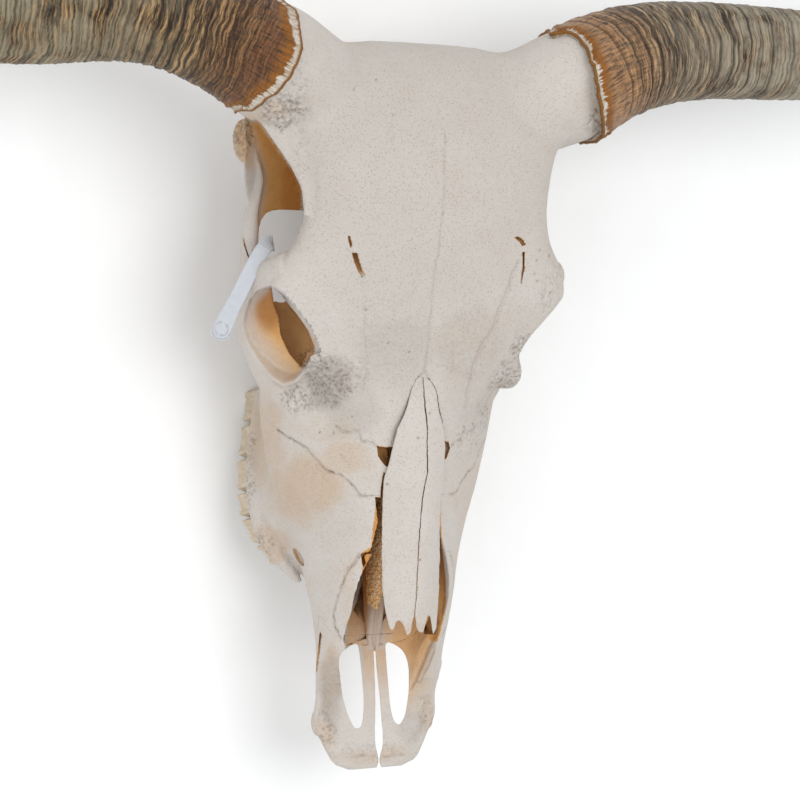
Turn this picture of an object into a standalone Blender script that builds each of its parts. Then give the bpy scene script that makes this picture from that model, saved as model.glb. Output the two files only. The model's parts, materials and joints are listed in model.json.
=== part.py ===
"""A longhorn's skull with its horn sheaths, lying on its cheek teeth and occiput.

Shapes are laid out in a head frame, in metres: X to the animal's left, Y from the tip of the
premaxillae back to the poll, Z up from the plane of the cheek teeth. The whole head is fused
from lofts and sweeps, parted along its sutures by thin cuts, and then tipped back about X until
the last molars and the processes beside the occipital condyles stand on the floor at Z = 0.
"""

import math

import bmesh
import bpy
import numpy as np
from mathutils import Matrix, Vector

MM = 0.001

# Driving sizes of the skull
SUTURE_GAP = 0.4 * MM  # width of the thin cuts between bones
SEAT_GAP = 0.55 * MM  # clearance round the small bones and the tag
VOXEL = 2.0 * MM  # grid that fuses the lofts into one bone

# Posture
FLOOR_WEAR = 1.2 * MM  # how much the contact points are flattened

# Triangle budgets after the fusing
HEAD_TRIANGLES = 9200

for obj in list(bpy.data.objects):
    bpy.data.objects.remove(obj)

skull = bpy.data.collections.new("longhorn_skull")
helpers = bpy.data.collections.new("cutters")
for collection in (skull, helpers):
    bpy.context.scene.collection.children.link(collection)
helpers.hide_render = True


def make_material(name, colour, roughness):
    material = bpy.data.materials.new(name)
    material.use_nodes = True
    shader = material.node_tree.nodes["Principled BSDF"]
    shader.inputs["Base Color"].default_value = (*colour, 1.0)
    shader.inputs["Roughness"].default_value = roughness
    return material


BONE = make_material("bleached_bone", (0.78, 0.72, 0.65), 0.62)
CAVITY_BONE = make_material("stained_bone", (0.55, 0.34, 0.16), 0.7)
KERATIN = make_material("horn_keratin", (0.33, 0.26, 0.19), 0.55)
TAG_PLASTIC = make_material("white_strap_plastic", (0.80, 0.83, 0.88), 0.4)


def add_mesh(name, vertices, faces, collection=helpers):
    mesh = bpy.data.meshes.new(name)
    mesh.from_pydata([tuple(v) for v in vertices], [], faces)
    obj = bpy.data.objects.new(name, mesh)
    collection.objects.link(obj)
    return obj


def face_outwards(obj):
    bm = bmesh.new()
    bm.from_mesh(obj.data)
    bmesh.ops.recalc_face_normals(bm, faces=bm.faces)
    bm.to_mesh(obj.data)
    bm.free()
    return obj


def smooth_rows(rows, step):
    """Rows of numbers keyed by their first column, filled in every step along a monotone cubic."""
    rows = np.array(rows, float)
    rows = rows[np.argsort(rows[:, 0])]
    keys = rows[:, 0]
    count = max(2, int(round((keys[-1] - keys[0]) / step)) + 1)
    at = np.linspace(keys[0], keys[-1], count)
    slopes = np.diff(rows, axis=0) / np.diff(keys)[:, None]
    tangents = np.vstack([slopes[:1], (slopes[1:] + slopes[:-1]) / 2, slopes[-1:]])
    opposed = slopes[1:] * slopes[:-1] <= 0
    tangents[1:-1][opposed] = 0
    index = np.clip(np.searchsorted(keys, at, side="right") - 1, 0, len(keys) - 2)
    span = (keys[index + 1] - keys[index])[:, None]
    t = (at - keys[index])[:, None] / span
    p0, p1 = rows[index], rows[index + 1]
    m0, m1 = tangents[index] * span, tangents[index + 1] * span
    h00, h10 = 2 * t**3 - 3 * t**2 + 1, t**3 - 2 * t**2 + t
    h01, h11 = -2 * t**3 + 3 * t**2, t**3 - t**2
    return h00 * p0 + h10 * m0 + h01 * p1 + h11 * m1


def superellipse(half_width, top, bottom, squareness, flare, sides):
    """One ring in X and Z. Flare above 0 makes the upper part wider than the lower one."""
    angles = 2 * math.pi * (np.arange(sides) + 0.5) / sides
    c, s = np.cos(angles), np.sin(angles)
    x = np.sign(c) * np.abs(c) ** (2 / squareness)
    z = np.sign(s) * np.abs(s) ** (2 / squareness)
    return np.stack([half_width * x * (1 + flare * z), (top + bottom) / 2 + (top - bottom) / 2 * z], 1)


def skin_rings(name, rings):
    """A closed solid through rings of equal length, in order, with flat ends."""
    sides = len(rings[0])
    vertices = np.vstack(rings)
    faces = []
    for k in range(len(rings) - 1):
        for i in range(sides):
            j = (i + 1) % sides
            faces.append((k * sides + i, k * sides + j, (k + 1) * sides + j, (k + 1) * sides + i))
    faces.append(tuple(range(sides))[::-1])
    faces.append(tuple((len(rings) - 1) * sides + i for i in range(sides)))
    return face_outwards(add_mesh(name, vertices, faces))


def loft(name, rows, step=8, sides=40, centre_x=0.0):
    """Rows in mm: y, half width, top, bottom, squareness, flare."""
    rings = []
    for y, half_width, top, bottom, squareness, flare in smooth_rows(rows, step):
        ring = superellipse(half_width, top, bottom, squareness, flare, sides)
        rings.append(np.column_stack([ring[:, 0] + centre_x, np.full(sides, y), ring[:, 1]]) * MM)
    return skin_rings(name, rings)


def sweep(name, rows, side=1, sides=14, step=5, closed=False, lie=None):
    """A bar of elliptical section. Rows in mm: x, y, z, half thickness, half height.

    The height is measured along lie, which is up unless it is given, and side mirrors x."""
    rows = np.array(rows, float)
    if closed:
        rows = np.vstack([rows, rows[:1]])
    lengths = np.linalg.norm(np.diff(rows[:, :3], axis=0), axis=1)
    keyed = np.column_stack([np.concatenate([[0], np.cumsum(lengths)]), rows])
    filled = smooth_rows(keyed, step)[:, 1:]
    if closed:
        filled = filled[:-1]
    centres = filled[:, :3] * np.array([side, 1, 1])
    up = Vector(lie or (0, 0, 1))
    up = Vector((up.x * side, up.y, up.z))
    rings = []
    for k, centre in enumerate(centres):
        if closed:
            ahead, behind = centres[(k + 1) % len(centres)], centres[k - 1]
        else:
            ahead, behind = centres[min(k + 1, len(centres) - 1)], centres[max(k - 1, 0)]
        along = Vector(ahead - behind).normalized()
        across = along.cross(up).normalized()
        height = across.cross(along).normalized()
        thick, tall = filled[k, 3:5]
        ring = []
        for i in range(sides):
            angle = 2 * math.pi * i / sides
            offset = across * (thick * math.cos(angle)) + height * (tall * math.sin(angle))
            ring.append((Vector(centre) + offset) * MM)
        rings.append(np.array(ring))
    if not closed:
        return skin_rings(name, rings)
    vertices = np.vstack(rings)
    faces = []
    for k in range(len(rings)):
        m = (k + 1) % len(rings)
        for i in range(sides):
            j = (i + 1) % sides
            faces.append((k * sides + i, k * sides + j, m * sides + j, m * sides + i))
    return face_outwards(add_mesh(name, vertices, faces))


def ellipsoid(name, centre, radii, turn=(0, 0, 0), side=1, rings=14):
    """Centre and radii in mm, turn in degrees about X, Y and Z."""
    mesh = bpy.data.meshes.new(name)
    bm = bmesh.new()
    bmesh.ops.create_uvsphere(bm, u_segments=2 * rings, v_segments=rings, radius=1.0)
    scale = Matrix.Diagonal((radii[0] * MM, radii[1] * MM, radii[2] * MM, 1.0))
    angles = [math.radians(a) for a in turn]
    rotation = Matrix.Rotation(angles[2], 4, "Z") @ Matrix.Rotation(angles[1], 4, "Y")
    rotation = rotation @ Matrix.Rotation(angles[0], 4, "X")
    mirror = Matrix.Diagonal((side, 1, 1, 1))
    place = mirror @ Matrix.Translation(Vector(centre) * MM) @ rotation @ scale
    bm.transform(place)
    bmesh.ops.recalc_face_normals(bm, faces=bm.faces)
    bm.to_mesh(mesh)
    bm.free()
    obj = bpy.data.objects.new(name, mesh)
    helpers.objects.link(obj)
    return obj


def slab(name, outline, low, high, width=SUTURE_GAP / MM):
    """A thin bent sheet, width mm thick: outline gives (y, z) points, extruded from x low to high."""
    vertices, faces = [], []
    for x in (low, high):
        vertices += [(x * MM, y * MM, z * MM) for y, z in outline]
    n = len(outline)
    for i in range(n - 1):
        faces.append((i, i + 1, n + i + 1, n + i))
    obj = add_mesh(name, vertices, faces)
    solid = obj.modifiers.new("thickness", "SOLIDIFY")
    solid.thickness = width * MM
    solid.offset = 0
    solid.use_even_offset = True
    return apply_modifiers(obj)


def apply_modifiers(obj):
    """Puts the evaluated mesh in place of the object's own one and drops its modifiers."""
    graph = bpy.context.evaluated_depsgraph_get()
    graph.update()
    mesh = bpy.data.meshes.new_from_object(obj.evaluated_get(graph))
    obj.modifiers.clear()
    obj.data = mesh
    return face_outwards(obj)


def combine(base, others, operation):
    """One Boolean of base with every object in others, applied, after which the others are removed."""
    group = bpy.data.collections.new("operands")
    bpy.context.scene.collection.children.link(group)
    for other in others:
        group.objects.link(other)
    boolean = base.modifiers.new("combine", "BOOLEAN")
    boolean.operation = operation
    boolean.operand_type = "COLLECTION"
    boolean.collection = group
    boolean.solver = "MANIFOLD"
    bpy.context.view_layer.update()
    apply_modifiers(base)
    for other in others:
        bpy.data.objects.remove(other)
    bpy.data.collections.remove(group)
    return base


def loose_parts(obj):
    """The object's separate closed surfaces, as new objects, largest first."""
    bm = bmesh.new()
    bm.from_mesh(obj.data)
    bm.faces.ensure_lookup_table()
    seen = set()
    parts = []
    for start in bm.faces:
        if start.index in seen:
            continue
        stack, shell = [start], []
        seen.add(start.index)
        while stack:
            face = stack.pop()
            shell.append(face)
            for edge in face.edges:
                for other in edge.link_faces:
                    if other.index not in seen:
                        seen.add(other.index)
                        stack.append(other)
        parts.append(shell)
    parts.sort(key=len, reverse=True)
    objects = []
    for shell in parts:
        number = {}
        vertices, faces = [], []
        for face in shell:
            corner = []
            for vert in face.verts:
                if vert.index not in number:
                    number[vert.index] = len(vertices)
                    vertices.append(tuple(vert.co))
                corner.append(number[vert.index])
            faces.append(tuple(corner))
        objects.append(add_mesh(obj.name + "_part", vertices, faces))
    bm.free()
    return objects


def fuse_bone(name, solids, voids, triangles):
    """Joins the solids, cuts the voids, rounds the result on a fine grid and thins its mesh out."""
    bone = combine(solids[0], solids[1:], "UNION")
    bone.name = name
    combine(bone, voids, "DIFFERENCE")
    remesh = bone.modifiers.new("one_skin", "REMESH")
    remesh.mode = "VOXEL"
    remesh.voxel_size = VOXEL
    remesh.adaptivity = 0
    soften = bone.modifiers.new("soften", "SMOOTH")
    soften.factor = 0.5
    soften.iterations = 5
    apply_modifiers(bone)
    thin = bone.modifiers.new("thin_out", "DECIMATE")
    thin.ratio = triangles / sum(len(p.vertices) - 2 for p in bone.data.polygons)
    thin.use_collapse_triangulate = True
    return apply_modifiers(bone)


# Midline of the forehead and nose, in mm: y and height
PROFILE = [
    (-10, 40), (60, 116), (98, 128), (141, 144), (183, 160), (225, 171), (272, 181), (301, 199),
    (347, 225), (366, 233), (393, 244), (433, 252), (470, 251), (500, 243), (515, 226),
]
PROFILE_FINE = smooth_rows(PROFILE, 2)


def midline(y):
    """Height of the head's upper midline at y, all in mm."""
    return float(np.interp(y, PROFILE_FINE[:, 0], PROFILE_FINE[:, 1]))


def forehead():
    """Frontal bones: a broad arched slab over the braincase and orbits, out to the poll."""
    widths = [
        (508, 60, 20, 2.4), (501, 88, 34, 2.6), (486, 102, 46, 2.7), (462, 108, 52, 2.7),
        (433, 102, 55, 2.6), (410, 95, 58, 2.6), (393, 93, 60, 2.6), (366, 99, 62, 2.5),
        (347, 112, 66, 2.4), (332, 116, 64, 2.4), (318, 111, 56, 2.4), (301, 98, 50, 2.3),
        (286, 86, 46, 2.2), (268, 68, 44, 2.2), (246, 48, 40, 2.2),
    ]
    sink = smooth_rows([(240, 5), (262, 2), (285, 0), (520, 0)], 2)
    rows = []
    for y, w, deep, n in widths:
        top = midline(y) - float(np.interp(y, sink[:, 0], sink[:, 1]))
        rows.append((y, w, top, top - deep, n, 0.04))
    return loft("forehead", rows, sides=56)


def braincase():
    rows = [
        (500, 56, 226, 122, 2.6, 0), (490, 66, 232, 100, 2.5, 0), (465, 72, 236, 92, 2.4, 0),
        (430, 64, 236, 88, 2.3, 0), (395, 50, 230, 84, 2.3, 0.05), (360, 38, 215, 80, 2.3, 0.1),
        (325, 36, 200, 66, 2.4, 0.1), (295, 36, 180, 52, 2.6, 0),
    ]
    return loft("braincase", rows)


def nuchal_plate():
    """Back of the head: the occipital plate with its side wings above the ear openings."""
    rows = [
        (502, 70, 232, 118, 2.8, 0.1), (495, 90, 238, 114, 2.8, 0.05), (478, 104, 232, 112, 2.8, 0),
        (464, 109, 222, 118, 2.8, -0.04), (452, 101, 206, 124, 2.8, -0.06), (440, 84, 190, 128, 2.6, -0.1),
    ]
    return loft("nuchal_plate", rows)


def face():
    """Upper jaw from the orbits to the front of the muzzle, still solid."""
    rows = [
        (322, 74, 196, 44, 2.2, -0.05), (300, 88, 196, 36, 2.1, -0.12), (278, 91, 183, 34, 2.1, -0.2),
        (255, 88, 174, 34, 2.1, -0.24), (228, 82, 164, 34, 2.1, -0.28), (200, 74, 155, 34, 2.2, -0.3),
        (178, 66, 149, 34, 2.2, -0.3), (150, 58, 141, 34, 2.3, -0.28), (120, 53, 130, 36, 2.3, -0.24),
        (100, 51, 112, 37, 2.3, -0.2), (80, 50, 88, 38, 2.4, -0.12), (60, 50, 66, 38, 2.6, -0.05),
    ]
    return loft("face", rows, sides=48)


def muzzle_tip():
    """Bodies of the premaxillae, flattened towards the front edge."""
    rows = [
        (72, 51, 76, 37, 2.6, 0), (50, 49, 55, 34, 2.8, 0), (35, 51, 46, 31, 2.8, 0),
        (20, 44, 42, 28, 2.8, 0), (8, 38, 40, 27, 3.0, 0), (0, 32, 38, 28, 3.0, 0), (-4, 22, 35, 30, 2.6, 0),
    ]
    return loft("muzzle_tip", rows, step=5)


# Edge of the right orbit's opening, in mm from the midline: down the cheekbone, then up the brow
ORBIT_EDGE = [
    (114, 336, 184), (117, 338, 165), (118, 334, 150), (118, 327, 138), (116, 320, 128), (112, 309, 123),
    (105, 298, 122), (97, 285, 124), (90, 277, 131), (86, 276, 141), (83, 282, 153), (80, 288, 164),
    (78, 296, 174), (84, 308, 181), (93, 318, 185), (105, 330, 188),
]
ORBIT_FACING = Vector((0.74, -0.62, 0.27)).normalized()


def orbit_rings(layers, side):
    """Rings shaped like the orbit's edge: each layer is a depth, a share of its size and a margin."""
    edge = [Vector(p) for p in ORBIT_EDGE]
    middle = sum(edge, Vector()) / len(edge)
    rings = []
    for depth, share, margin in layers:
        ring = []
        for point in edge:
            out = point - middle
            spot = middle + out * (share + margin / out.length) - ORBIT_FACING * depth
            ring.append((side * spot.x * MM, spot.y * MM, spot.z * MM))
        rings.append(np.array(ring))
    return rings


def orbit_cup(side):
    """Bone round the eye socket, before the socket is hollowed out of it."""
    layers = [(-1, 1.0, 3.6), (10, 1.0, 4.5), (26, 0.9, 5), (44, 0.62, 5), (54, 0.4, 2)]
    return skin_rings("orbit_cup", orbit_rings(layers, side))


def orbit_socket(side):
    layers = [(-40, 1.25, 0), (-1, 1.0, 0), (10, 1.0, 0.5), (26, 0.88, 0), (42, 0.6, 0), (50, 0.3, 0)]
    return skin_rings("orbit_socket", orbit_rings(layers, side))


def tear_bone_knob(side):
    """Rough knob at the orbit's front corner, which only the left side has."""
    return ellipsoid("tear_bone_knob", (82, 283, 152), (18, 15, 20), (0, 0, 0), side)


def zygomatic_arch(side):
    rows = [
        (60, 226, 82, 10, 14), (74, 254, 90, 10, 15), (87, 277, 104, 8, 17), (101, 297, 112, 5.5, 15),
        (112, 321, 120, 5, 12), (113.5, 346, 130, 5.5, 12), (110.5, 374, 135, 6, 11),
        (108.5, 398, 138, 5.4, 10), (103, 420, 141, 4.8, 9), (101.5, 431, 142, 4.8, 9), (104, 446, 142, 6.5, 10),
        (105, 461, 141, 8, 13),
    ]
    return sweep("zygomatic_arch", rows, side)


def postorbital_bar(side):
    rows = [
        (104, 346, 196, 11, 13), (112, 346, 185, 7, 11), (117, 347, 166, 5, 9),
        (118, 344, 148, 5, 9.5), (114, 342, 134, 6, 13),
    ]
    return sweep("postorbital_bar", rows, side, lie=(0, 1, 0))


def jaw_joint_shelf(side):
    """Floor of the temporal fossa's rear half, which carries the joint for the lower jaw."""
    return ellipsoid("jaw_joint_shelf", (66, 427, 122), (29, 26, 10), (6, 0, 0), side)


def ear_block(side):
    return ellipsoid("ear_block", (72, 453, 124), (30, 16, 22), (0, 0, 0), side)


def condyle(side):
    return ellipsoid("condyle", (27, 488, 112), (18, 19, 25), (24, 0, -18), side)


def paracondylar_process(side):
    rows = [(58, 470, 118, 14, 16), (60, 466, 94, 10, 13), (59, 461, 70, 7, 10), (57, 457, 52, 5, 7)]
    return sweep("paracondylar_process", rows, side, lie=(0, 1, 0))


def tympanic_bulla(side):
    return ellipsoid("tympanic_bulla", (44, 428, 84), (14, 18, 22), (0, 0, 0), side)


def pterygoid_plate(side):
    rows = [(27, 392, 92, 4, 12), (27, 365, 84, 3.5, 22), (26, 335, 78, 3.5, 26), (27, 305, 70, 5, 28), (30, 288, 56, 8, 22)]
    return sweep("pterygoid_plate", rows, side)


def alveolar_ridge(side):
    """The ridge that holds the cheek teeth."""
    rows = [
        (43, 147, 46, 8, 14), (52, 165, 45, 11, 16), (62, 185, 45, 13, 18), (67, 206, 46, 13, 20),
        (67, 230, 47, 13, 20), (63, 257, 48, 13, 20), (58, 285, 50, 13, 20), (54, 304, 53, 11, 18),
    ]
    return sweep("alveolar_ridge", rows, side)


# Cheek teeth from the front: where each begins, its middle across, width and slant to the row
TOOTH_FRONTS = [157.5, 175, 196, 216, 243, 271, 299]
TOOTH_MIDDLES = [60, 71.5, 76, 75.5, 71.5, 66]
TOOTH_WIDTHS = [15, 20, 23, 25, 24, 22]
TOOTH_SLANTS = [0.8, 0.4, 0.1, -0.05, -0.2, -0.15]


def cheek_tooth(index, side):
    """One ridged crown, leaning a little outwards from its socket."""
    front, rear = TOOTH_FRONTS[index], TOOTH_FRONTS[index + 1]
    middle, width = TOOTH_MIDDLES[index], TOOTH_WIDTHS[index]
    rings = []
    sides = 24
    for z, lean, size in ((34, -9, 0.80), (20, -5, 0.92), (6, 0, 1.0), (1.5, 1, 0.97), (0, 1, 0.88)):
        ring = []
        for i in range(sides):
            angle = 2 * math.pi * (i + 0.5) / sides
            c, s = math.cos(angle), math.sin(angle)
            x = math.copysign(abs(c) ** 0.5, c) * width / 2 * size
            y = math.copysign(abs(s) ** 0.5, s) * ((rear - front) / 2 - 0.9) * size
            if c > 0:
                x += 1.2 * math.cos(3 * math.pi * y / ((rear - front) / 2))
            x += middle + lean + TOOTH_SLANTS[index] * y
            ring.append((side * x * MM, ((front + rear) / 2 + y) * MM, z * MM))
        rings.append(np.array(ring))
    return skin_rings("cheek_tooth", rings)


# Horn: where its sheath starts, then azimuth (towards the poll) and elevation along its length
HORN_BASE = Vector((121, 484.2, 236.7))
HORN_STEPS = [0, 88, 168, 248, 328, 408, 508, 628]
HORN_AZIMUTH = {-1: [31, 12, -3, -2, 1, 4, 8, 13], 1: [31, 11.5, 1, -1, 1, 4, 8, 12]}
HORN_ELEVATION = [-5, -6, 0, 15, 31, 46, 60, 72]
HORN_RADIUS = {-1: [43.5, 35, 41, 38.5, 33, 26, 17, 4], 1: [44.5, 38.8, 36.3, 34.2, 31, 25.5, 17, 4]}


def horn_axis(side, step):
    """Centres, directions and radii along the horn, in mm."""
    at = np.arange(0, HORN_STEPS[-1] + 0.1, step)
    azimuth = np.radians(smooth_rows(list(zip(HORN_STEPS, HORN_AZIMUTH[side])), 5)[:, 1])
    fine = np.linspace(0, HORN_STEPS[-1], len(azimuth))
    elevation = np.radians(smooth_rows(list(zip(HORN_STEPS, HORN_ELEVATION)), 5)[:, 1])
    radius = smooth_rows(list(zip(HORN_STEPS, HORN_RADIUS[side])), 5)[:, 1]
    directions = np.stack(
        [side * np.cos(elevation) * np.cos(azimuth), np.cos(elevation) * np.sin(azimuth), np.sin(elevation)], 1
    )
    steps = np.diff(fine)[:, None] * (directions[1:] + directions[:-1]) / 2
    start = np.array([side * HORN_BASE.x, HORN_BASE.y, HORN_BASE.z])
    centres = start + np.vstack([[0, 0, 0], np.cumsum(steps, axis=0)])
    pick = [int(np.argmin(abs(fine - s))) for s in at]
    return centres[pick], directions[pick], radius[pick]


def horn_core(side):
    """Bony stub that carries the sheath."""
    _, directions, radius = horn_axis(side, 80)
    along = Vector(directions[0])
    base = Vector((side * HORN_BASE.x, HORN_BASE.y, HORN_BASE.z))
    inner = Vector((side * 58, 461, 212))
    rings = []
    sides = 32
    across = along.cross(Vector((0, 0, 1))).normalized()
    upright = across.cross(along).normalized()
    for share, size in ((0.0, 0.82), (0.35, 0.9), (0.7, 0.93), (1.0, 0.97)):
        centre = inner.lerp(base, share)
        ring = []
        for i in range(sides):
            angle = 2 * math.pi * i / sides
            r = (radius[0] - 1.5) * size
            ring.append((centre + across * (r * math.cos(angle)) + upright * (r * math.sin(angle))) * MM)
        rings.append(np.array(ring))
    return skin_rings("horn_core", rings)


def nasal_cavity():
    """The hollow of the nose, open in front and along the roof where the nasal bones lie."""
    rows = [
        (258, 16, 170, 128, 2.4, 0), (235, 26, 164, 74, 2.6, 0), (200, 34, 150, 52, 2.8, -0.1),
        (150, 37, 139, 48, 2.8, -0.15), (120, 38, 124, 47, 2.8, -0.12), (100, 36, 116, 48, 2.8, 0),
        (85, 31, 104, 48, 2.8, 0), (70, 29, 94, 49, 2.8, 0), (56, 27, 84, 50, 2.8, 0), (45, 24, 74, 50, 2.6, 0),
        (33, 19, 66, 49, 2.4, 0), (22, 10, 60, 49, 2.4, 0),
    ]
    return loft("nasal_cavity", rows, sides=36)


def nasal_roof_opening():
    """Slot in the roof of the nose that the nasal bones cover."""
    rows = [
        (262, 7, 230, 150, 4, 0), (245, 16, 230, 140, 4, 0), (224, 22, 220, 130, 4, 0),
        (190, 24, 210, 110, 4, 0), (160, 26, 200, 100, 4, 0), (148, 33, 200, 96, 4, 0), (130, 37, 200, 88, 4, 0),
        (115, 39, 180, 80, 4, 0), (100, 39, 140, 70, 3.6, 0.1), (85, 38, 112, 58, 3.4, 0.2),
        (70, 37, 100, 53, 3.2, 0.25), (50, 33, 86, 49, 3, 0.28), (35, 26, 76, 46, 3, 0.3), (24, 14, 70, 45, 3, 0.3),
    ]
    return loft("nasal_roof_opening", rows, sides=36)


def palatine_fissure(side):
    """Opening through the floor of the muzzle beside the midline."""
    rows = [
        (14.5, 26, 44, 3.4, 30), (17.5, 40, 45, 8.0, 30), (19.3, 56, 46, 11, 30), (20, 70, 48, 11.5, 30),
        (18, 84, 48, 9, 30), (14, 94, 48, 3.5, 30),
    ]
    return sweep("palatine_fissure", rows, side)


def median_gap():
    """The two premaxillae stand a little apart from behind their tips to the vomer."""
    rows = [
        (4, 0.5, 70, 10, 2, 0), (9, 1.6, 70, 10, 2, 0), (18, 2.4, 70, 10, 2, 0), (40, 2.0, 70, 10, 2, 0),
        (64, 1.6, 70, 10, 2, 0), (92, 1.0, 70, 10, 2, 0),
    ]
    return loft("median_gap", rows, sides=12)


def choana():
    rows = [(420, 17, 84, 40, 2.6, 0), (380, 20, 96, 40, 2.6, 0), (345, 21, 104, 40, 2.6, 0), (310, 20, 100, 44, 2.6, 0), (300, 12, 90, 50, 2.4, 0)]
    return loft("choana", rows, sides=24)


def foramen_magnum():
    return ellipsoid("foramen_magnum", (0, 492, 138), (19, 62, 18), (8, 0, 0))


def orbit_to_fossa(side):
    """Passage behind the eye, under the postorbital bar, into the temporal fossa."""
    return ellipsoid("orbit_to_fossa", (82, 352, 152), (27, 44, 32), (0, 0, 14), side)


def temporal_fossa(side):
    return ellipsoid("temporal_fossa", (84, 408, 166), (19, 46, 34), (0, 8, -4), side)


def head_hollows():
    hollows = [nasal_cavity(), nasal_roof_opening(), median_gap(), choana(), foramen_magnum()]
    for side in (-1, 1):
        hollows += [palatine_fissure(side), orbit_socket(side), orbit_to_fossa(side), temporal_fossa(side)]
    return hollows


def head_solids():
    solids = [forehead(), braincase(), nuchal_plate(), face(), muzzle_tip(), tear_bone_knob(1)]
    for side in (-1, 1):
        solids += [
            orbit_cup(side), zygomatic_arch(side), postorbital_bar(side),
            jaw_joint_shelf(side), ear_block(side), condyle(side), paracondylar_process(side),
            tympanic_bulla(side), pterygoid_plate(side), alveolar_ridge(side), horn_core(side),
        ]
        solids += [cheek_tooth(index, side) for index in range(6)]
    return solids


# Nasal bones, in mm: y, half width of the pair, height of the outer edge below the midline
NASAL_ROWS = [
    (272, 4.0, 1.5), (262, 9, 3), (250, 15, 5), (238, 20.5, 7), (224, 23.5, 10), (208, 24, 12), (193, 24.2, 13),
    (169, 24, 13.5), (144, 23.7, 14), (118, 21.8, 10), (96, 19.5, 6),
]
NASAL_THICKNESS = 3.4
NASAL_TIPS = [(0, 0), (0.25, -4), (0.45, 5), (0.6, 6), (0.75, -1), (0.9, -4), (1, 2)]


def nasal_bone(name, side, margin=0):
    """One of the two long arched shells that roof the nose, ending in front in a forked tip.

    With a margin, in mm, it is the cutter for its own bed, open upwards."""
    rows = smooth_rows(NASAL_ROWS, 8)
    rows[-1, 0] += margin
    across = 7
    tips = np.array(NASAL_TIPS, float)
    top, under = [], []
    for k, (y, half, drop) in enumerate(rows):
        forked = max(0, 1 - k / 2)
        for i in range(across):
            share = i / (across - 1)
            inset = SUTURE_GAP / MM / 2 - 2 * margin
            x = inset + share * (half + margin - inset)
            y_here = y + np.interp(share, tips[:, 0], tips[:, 1]) * forked
            z = midline(y) - drop * share**2
            rise = 25 if margin else 0
            top.append((side * x * MM, y_here * MM, (z + rise) * MM))
            under.append((side * x * MM, y_here * MM, (z - NASAL_THICKNESS - margin) * MM))
    n = len(top)
    vertices = top + under
    faces = []
    for k in range(len(rows) - 1):
        for i in range(across - 1):
            a, b = k * across + i, k * across + i + 1
            c, d = a + across, b + across
            faces += [(a, b, d, c), (n + a, n + c, n + d, n + b)]
        for a, c in ((k * across, (k + 1) * across), ((k + 1) * across - 1, (k + 2) * across - 1)):
            faces.append((a, c, n + c, n + a))
    for start in (0, (len(rows) - 1) * across):
        for i in range(across - 1):
            a, b = start + i, start + i + 1
            faces.append((a, b, n + b, n + a))
    return face_outwards(add_mesh(name, vertices, faces))


def vomer_bone():
    """The thin keel that stands on the floor of the nose."""
    rows = [
        (95, 5.0, 60, 47.0, 3, -0.1), (130, 5.5, 66, 46.5, 3, -0.1), (180, 6, 74, 47, 3, -0.1),
        (230, 6, 82, 60, 3, -0.1), (262, 5, 92, 76, 3, -0.1),
    ]
    return loft("vomer", rows, step=24, sides=16)


def concha(name, side):
    """Scrolled spongy bone along the side wall of the nose, as one mass."""
    rows = [(30, 120, 76, 5, 12), (27, 145, 84, 9, 22), (26, 180, 92, 10, 27), (24, 212, 100, 9, 24), (20, 236, 112, 6, 14)]
    return sweep(name, rows, side, step=16, sides=12)


def horn_sheath(name, side):
    """The keratin sheath, taken as solid round its core, from the collar out to the tip."""
    centres, directions, radius = horn_axis(side, 20)
    sides = 20
    rings = []
    for centre, direction, r in zip(centres, directions, radius):
        along = Vector(direction)
        across = along.cross(Vector((0, 0, 1))).normalized()
        upright = across.cross(along).normalized()
        ring = []
        for i in range(sides):
            angle = 2 * math.pi * i / sides
            ring.append((Vector(centre) + across * (r * math.cos(angle)) + upright * (r * math.sin(angle))) * MM)
        rings.append(np.array(ring))
    return skin_rings(name, rings)


def horn_seat(side):
    """Cuts the horn core off flat, a suture gap short of the sheath."""
    centres, directions, radius = horn_axis(side, 20)
    along = Vector(directions[0])
    across = along.cross(Vector((0, 0, 1))).normalized()
    upright = across.cross(along).normalized()
    rings = []
    for distance in (-SUTURE_GAP / MM, 70):
        ring = []
        for i in range(24):
            angle = 2 * math.pi * i / 24
            spot = Vector(centres[0]) + along * distance
            ring.append((spot + across * (70 * math.cos(angle)) + upright * (70 * math.sin(angle))) * MM)
        rings.append(np.array(ring))
    return skin_rings("horn_seat", rings)


# Identification strap on the right postorbital bar, in mm
STRAP_PATH = [
    (-104, 372, 168), (-110, 370, 175), (-116, 364, 178), (-121, 356, 176), (-126, 346, 171), (-131, 335, 165),
    (-137, 323, 159), (-142, 312, 154),
]
STRAP_FACING = Vector((-0.39, -0.18, 0.9))
STRAP_WIDTH = 11
STRAP_THICKNESS = 1.2
STRAP_HEAD = (9, 3)  # radius and thickness of the round stud


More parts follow.
